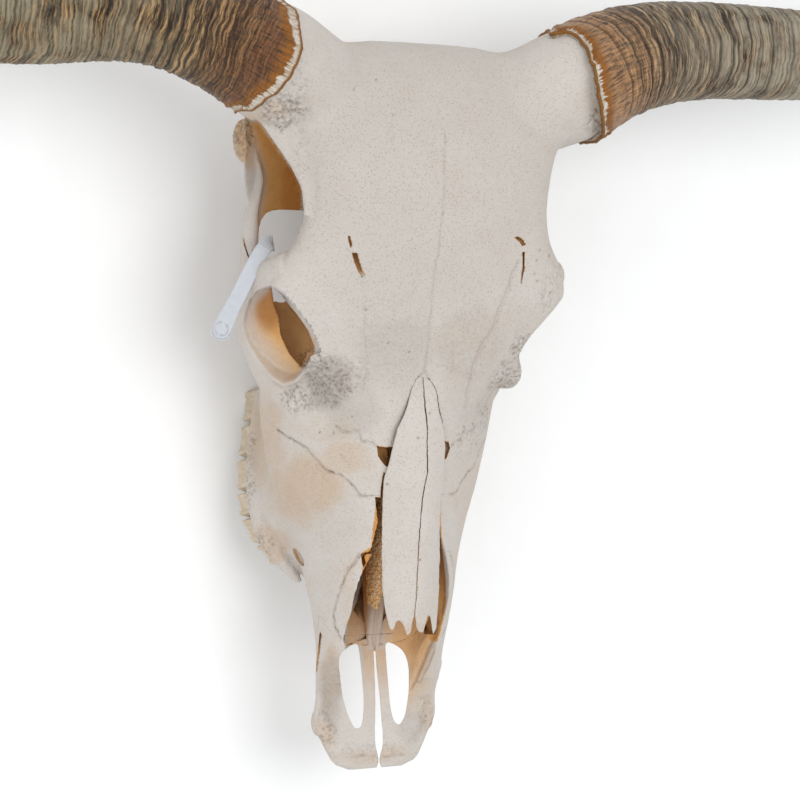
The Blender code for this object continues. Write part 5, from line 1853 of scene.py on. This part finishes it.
def bone_material():
    material, tree, shader = new_material("bleached_bone")
    place = add_node(tree, "ShaderNodeTexCoord").outputs["Object"]
    tone_layer = add_node(tree, "ShaderNodeAttribute", attribute_name="tone")
    tones = add_node(tree, "ShaderNodeSeparateColor", {"Color": tone_layer.outputs["Color"]}).outputs
    pores_and_shade_layer = add_node(tree, "ShaderNodeAttribute", attribute_name="pores_and_shade_depth")
    pores_and_shade_depth = add_node(tree, "ShaderNodeSeparateXYZ", {"Vector": pores_and_shade_layer.outputs["Vector"]}).outputs

    cloud = clouds(tree, place, per_mm(22), 6.0, 0.62)
    dust = ramp(tree, clouds(tree, place, per_mm(2.4), 3.0), 0.35, 0.75, 0.0, 0.13)
    base = blend(tree, cloud, BONE_WHITE, BONE_CREAM)
    base = blend(tree, dust, base, BONE_GREY_AND_SHADE)
    base = blend(tree, tones["Red"], base, BONE_TAN)
    # Grey bone, and painted shade on concave parts.
    base = blend(tree, tones["Green"], base, BONE_GREY_AND_SHADE)
    # Amber brown of the hollows: stain with painted shade, darker where the shade is deeper.
    drift = maths(tree, "MULTIPLY_ADD", clouds(tree, place, per_mm(14), 5.0), 0.5, -0.25)
    deep = maths(tree, "ADD", pores_and_shade_depth["Y"], drift, clamp=True)
    base = blend(tree, tones["Blue"], base, blend(tree, deep, STAIN_PALE_AND_LIT, STAIN_DEEP_AND_SHADED))
    # Suture brown, and painted shade in holes, pin holes, grooves and the orbit.
    base = blend(tree, tone_layer.outputs["Alpha"], base, SUTURE_AND_SHADE_BROWN)

    warp = add_node(tree, "ShaderNodeTexNoise", {"Vector": place, "Scale": per_mm(4), "Detail": 2.0})
    shift = {0: warp.outputs["Color"], 1: PORE_WARP, 2: place}
    shifted = add_node(tree, "ShaderNodeVectorMath", shift, operation="MULTIPLY_ADD").outputs[0]
    # Painted shade in the pits: darkest in each cell's middle, fading to its edge.
    hole = ramp(tree, cell_distance(tree, shifted, 3.1), 0.05, 0.55, 0.62, 0.0)
    porous = maths(tree, "MULTIPLY", hole, pores_and_shade_depth["X"])
    base = blend(tree, porous, base, PORE_SHADE_GREY)

    grain = clouds(tree, place, per_mm(1.1), 4.0, 0.65)
    height = maths(tree, "ADD", grain, ramp(tree, cell_distance(tree, place, 1.7), 0.05, 0.3))
    sunk = maths(tree, "MULTIPLY_ADD", porous, -3.0, height)
    finish_surface(tree, shader, base, sunk, 0.8, 0.0005, BONE_IOR)
    tree.links.new(ramp(tree, cloud, 0.0, 1.0, 0.5, 0.72), shader.inputs["Roughness"])
    return material


BONE = bone_material()
print("made", BONE.name)

# %% [markdown]
# ## Spongy bone of the conchae
# Thin struts are painted pale, a painted highlight where they catch the light, while the pits between stay
# amber with painted shade, so the colour follows a cell pattern of the same size as the pits, about two and a
# half millimetres.

# %% Spongy bone material
PIT_SIZE = 2.4


def spongy_material():
    material, tree, shader = new_material("spongy_stained_bone")
    place = add_node(tree, "ShaderNodeTexCoord").outputs["Object"]
    # Painted highlight on the struts, painted shade in the amber pits.
    strut = ramp(tree, cell_distance(tree, place, PIT_SIZE, "DISTANCE_TO_EDGE"), 0.03, 0.2, 1.0, 0.0)
    pit = blend(tree, clouds(tree, place, per_mm(9), 4.0), "#eba64c", "#cd8230")
    finish_surface(tree, shader, blend(tree, strut, pit, "#f7dfb4"), strut, 0.8, 0.0008, BONE_IOR)
    shader.inputs["Roughness"].default_value = 0.55
    return material


SPONGY = spongy_material()
print("made", SPONGY.name)

# %% [markdown]
# ## Tooth
# Cheek teeth are enamel under a rough coat of cement. The crown is a dull beige, streaked from
# root to tip, with paler worn spots.

# %% Tooth material


def tooth_material():
    material, tree, shader = new_material("cement_coated_enamel")
    place = add_node(tree, "ShaderNodeTexCoord").outputs["Object"]
    streak = clouds(tree, stretched(tree, place, (1.0, 1.0, 0.25)), per_mm(2.2), 5.0)
    spot = ramp(tree, clouds(tree, place, per_mm(7), 3.0), 0.5, 0.75, 0.0, 0.6)
    base = blend(tree, spot, blend(tree, streak, "#cfc3b0", "#b09878"), "#d9cfbf")
    finish_surface(tree, shader, base, streak, 0.4, 0.0005, 1.6)
    shader.inputs["Roughness"].default_value = 0.45
    return material


TOOTH = tooth_material()
print("made", TOOTH.name)

# %% [markdown]
# ## Horn keratin
# Keratin grows in thin layers, so weather splits it into fine dark and pale lines that run round
# the horn, with deeper brown lines where growth paused. Near the head it is amber and glossier.
# The grain attribute unrolls the horn: x runs along it, y and z round it, in millimetres. The
# zone attribute holds the distance from the rim, the growth lines, and the distance along.

# %% Keratin material
LAYER_SIZE = 2.3
THREAD_SIZE = 1.2
FIBRE_SIZE = 1.6
BLOTCH_SIZE = 24
GROWTH_BROWN = "#1f130b"
LIP_AMBER = "#8a5a20"
KERATIN_IOR = 1.55


def keratin_material(name, young, dark, pale, old, light_from, light_to):
    """Young keratin at the base, then dark with pale streaks, then old and bleached."""
    material, tree, shader = new_material(name)
    grain = add_node(tree, "ShaderNodeAttribute", attribute_name="grain").outputs["Vector"]
    zone = add_node(tree, "ShaderNodeAttribute", attribute_name="zone").outputs["Vector"]
    from_rim, ring, along = add_node(tree, "ShaderNodeSeparateXYZ", {"Vector": zone}).outputs
    round_it = stretched(tree, grain, (1.0, 0.09, 0.09))
    layers = clouds(tree, round_it, 1 / LAYER_SIZE, 7.0, 0.78)
    threads = clouds(tree, round_it, 1 / THREAD_SIZE, 3.0, 0.6)
    fibres = clouds(tree, stretched(tree, grain, (0.12, 1.0, 1.0)), 1 / FIBRE_SIZE, 4.0, 0.65)
    blotch = clouds(tree, grain, 1 / BLOTCH_SIZE, 4.0, 0.6)

    base = blend(tree, ramp(tree, layers, 0.455, 0.57), dark, pale)
    base = blend(tree, ramp(tree, threads, 0.48, 0.60, 0.0, 0.65), base, dark)
    bleached = ramp(tree, along, light_from, light_to, 0.0, 0.95)
    patchy = maths(tree, "MULTIPLY", bleached, ramp(tree, blotch, 0.34, 0.6))
    base = blend(tree, patchy, base, old)
    strand = ramp(tree, fibres, 0.42, 0.66)
    warm = blend(tree, strand, young, dark)
    base = blend(tree, ramp(tree, along, 14.0, 62.0, 0.75, 0.0), base, warm)
    base = blend(tree, ring, base, GROWTH_BROWN)

    by_fibre = maths(tree, "MULTIPLY_ADD", fibres, 10.0, -5.0)
    by_blotch = maths(tree, "MULTIPLY_ADD", blotch, 16.0, -8.0)
    torn = maths(tree, "ADD", from_rim, maths(tree, "ADD", by_fibre, by_blotch))
    amber = blend(tree, fibres, "#c07a24", "#45240a")
    base = blend(tree, ramp(tree, torn, 9.0, 16.0, 1.0, 0.0), base, amber)
    flake = blend(tree, strand, "#e2dbd0", "#a98a60")
    base = blend(tree, ramp(tree, torn, 5.4, 6.4, 1.0, 0.0), base, flake)
    base = blend(tree, ramp(tree, from_rim, 1.5, 2.6, 1.0, 0.0), base, LIP_AMBER)

    height = maths(tree, "MULTIPLY_ADD", fibres, 0.5, maths(tree, "ADD", layers, threads))
    finish_surface(tree, shader, base, height, 1.0, 0.0018, KERATIN_IOR)
    tree.links.new(ramp(tree, along, 10.0, 90.0, 0.42, 0.58), shader.inputs["Roughness"])
    shader.inputs["Specular IOR Level"].default_value = 0.35
    return material


HORN_COLOURS = {
    "horn_right": ("weathered_horn_keratin_dark", "#7d4c2a", "#281a11", "#c9a06c", "#a3977c", 40.0, 130.0),
    "horn_left": ("weathered_horn_keratin_grey", "#c99463", "#33241a", "#c2a680", "#aba08c", 45.0, 150.0),
}
KERATIN = {name: keratin_material(*looks) for name, looks in HORN_COLOURS.items()}
print("made", [material.name for material in KERATIN.values()])

# %% [markdown]
# ## Strap plastic
# The tag is moulded polyethylene: milky, a little bluish, and slightly glossy, with faint scuffs.

# %% Plastic material


def plastic_material():
    material, tree, shader = new_material("moulded_polyethylene")
    place = add_node(tree, "ShaderNodeTexCoord").outputs["Object"]
    scuff = clouds(tree, place, per_mm(5), 6.0, 0.7)
    finish_surface(tree, shader, blend(tree, scuff, "#c5c8cd", "#b0b4bb"), scuff, 0.12, 0.0003, 1.5)
    tree.links.new(ramp(tree, scuff, 0.0, 1.0, 0.28, 0.5), shader.inputs["Roughness"])
    return material


PLASTIC = plastic_material()
print("made", PLASTIC.name)

# %% [markdown]
# ## Dressing the frame
# Each finished piece moves from the head frame to the floor, rides on the one body, and hides the CAD node it
# stands for. The teeth stand for the upper jaws they are set in.

# %% Place every piece


def dress(obj, name, nodes, material):
    obj.name = name
    obj.data.transform(POSE)
    write_points(obj, np.clip(read_points(obj), *np.array(CAD_BOX)))
    obj.data.materials.clear()
    obj.data.materials.append(material)
    obj.data.shade_smooth()
    work.objects.unlink(obj)
    dressed.objects.link(obj)
    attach(obj, "root")
    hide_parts(*nodes)
    return obj


for name, bone in bones.items():
    dress(bone, name + "_bone", [name], BONE)
for name, bone in small.items():
    spongy = name != "vomer"
    dress(bone, name + "_bone", [name], SPONGY if spongy else BONE)
for side, row in teeth.items():
    for tooth in row:
        dress(tooth, tooth.name, ["maxilla_left" if side > 0 else "maxilla_right"], TOOTH)
for name, horn in horns.items():
    dress(horn, name + "_sheath", [name], KERATIN[name])
dress(tag, "tag_strap_plastic", ["tag_strap"], PLASTIC)
for leftover in list(work.objects):
    bpy.data.objects.remove(leftover)

# %% [markdown]
# ## Floor, light and camera
# The photograph shows the skull on a bright white sheet, lit from the upper right by a broad
# soft light, with a pale shadow to its lower left.

# %% Studio


FLOOR_HALF = 4.0  # metres
SENSOR_WIDTH = 36
LIGHT_DISTANCE = 2.4
WORLD_COLOUR = (0.98, 1.0, 1.01, 1)
WORLD_STRENGTH = 0.75


def studio_floor():
    mesh = bpy.data.meshes.new("studio_floor")
    corners = [(x * FLOOR_HALF, y * FLOOR_HALF, 0) for x, y in ((-1, -1), (1, -1), (1, 1), (-1, 1))]
    mesh.from_pydata(corners, [], [(0, 1, 2, 3)])
    floor = bpy.data.objects.new("studio_floor", mesh)
    bpy.context.scene.collection.objects.link(floor)
    material, tree, shader = new_material("matt_white_card")
    place = add_node(tree, "ShaderNodeTexCoord").outputs["Object"]
    white = blend(tree, clouds(tree, place, per_mm(30), 2.0), "#f7f7f7", "#fafafa")
    tree.links.new(white, shader.inputs["Base Color"])
    shader.inputs["Roughness"].default_value = 0.9
    shader.inputs["Specular IOR Level"].default_value = 0.0
    mesh.materials.append(material)
    return floor


def photo_camera():
    to_head = Matrix(TURN.T.tolist()).to_4x4()
    to_head.translation = EYE
    matrix = POSE @ to_head
    where, turn, _ = matrix.decompose()
    data = bpy.data.cameras.new("photo_camera")
    camera = bpy.data.objects.new("photo_camera", data)
    bpy.context.scene.collection.objects.link(camera)
    camera.matrix_world = Matrix.Translation(where) @ turn.to_matrix().to_4x4()
    data.sensor_width = SENSOR_WIDTH
    data.lens = FOCAL / IMAGE_SIDE * SENSOR_WIDTH
    data.clip_start = 0.05
    bpy.context.scene.camera = camera
    return camera


def soft_light(camera, name, direction, size, power):
    """A round light seen from the camera in this direction: right, up and towards it."""
    basis = camera.matrix_world.to_3x3()
    target = POSE @ Vector(AIM)
    way = (basis @ Vector(direction)).normalized()
    data = bpy.data.lights.new(name, "AREA")
    data.shape = "DISK"
    data.size = size
    data.energy = power
    light = bpy.data.objects.new(name, data)
    bpy.context.scene.collection.objects.link(light)
    spot = target + way * LIGHT_DISTANCE
    light.matrix_world = Matrix.Translation(spot) @ way.to_track_quat("Z", "Y").to_matrix().to_4x4()
    return light


floor = studio_floor()
camera = photo_camera()
soft_light(camera, "key_light", (0.6, 0.1, 1.0), 1.5, 24)
soft_light(camera, "fill_light", (-0.55, -0.3, 1.0), 1.8, 12)
world = bpy.data.worlds.new("studio")
world.use_nodes = True
sky = world.node_tree.nodes["Background"].inputs
sky["Color"].default_value = WORLD_COLOUR
sky["Strength"].default_value = WORLD_STRENGTH
bpy.context.scene.world = world
bpy.context.scene.view_settings.view_transform = "Standard"
print("camera at", [round(v, 3) for v in camera.location])
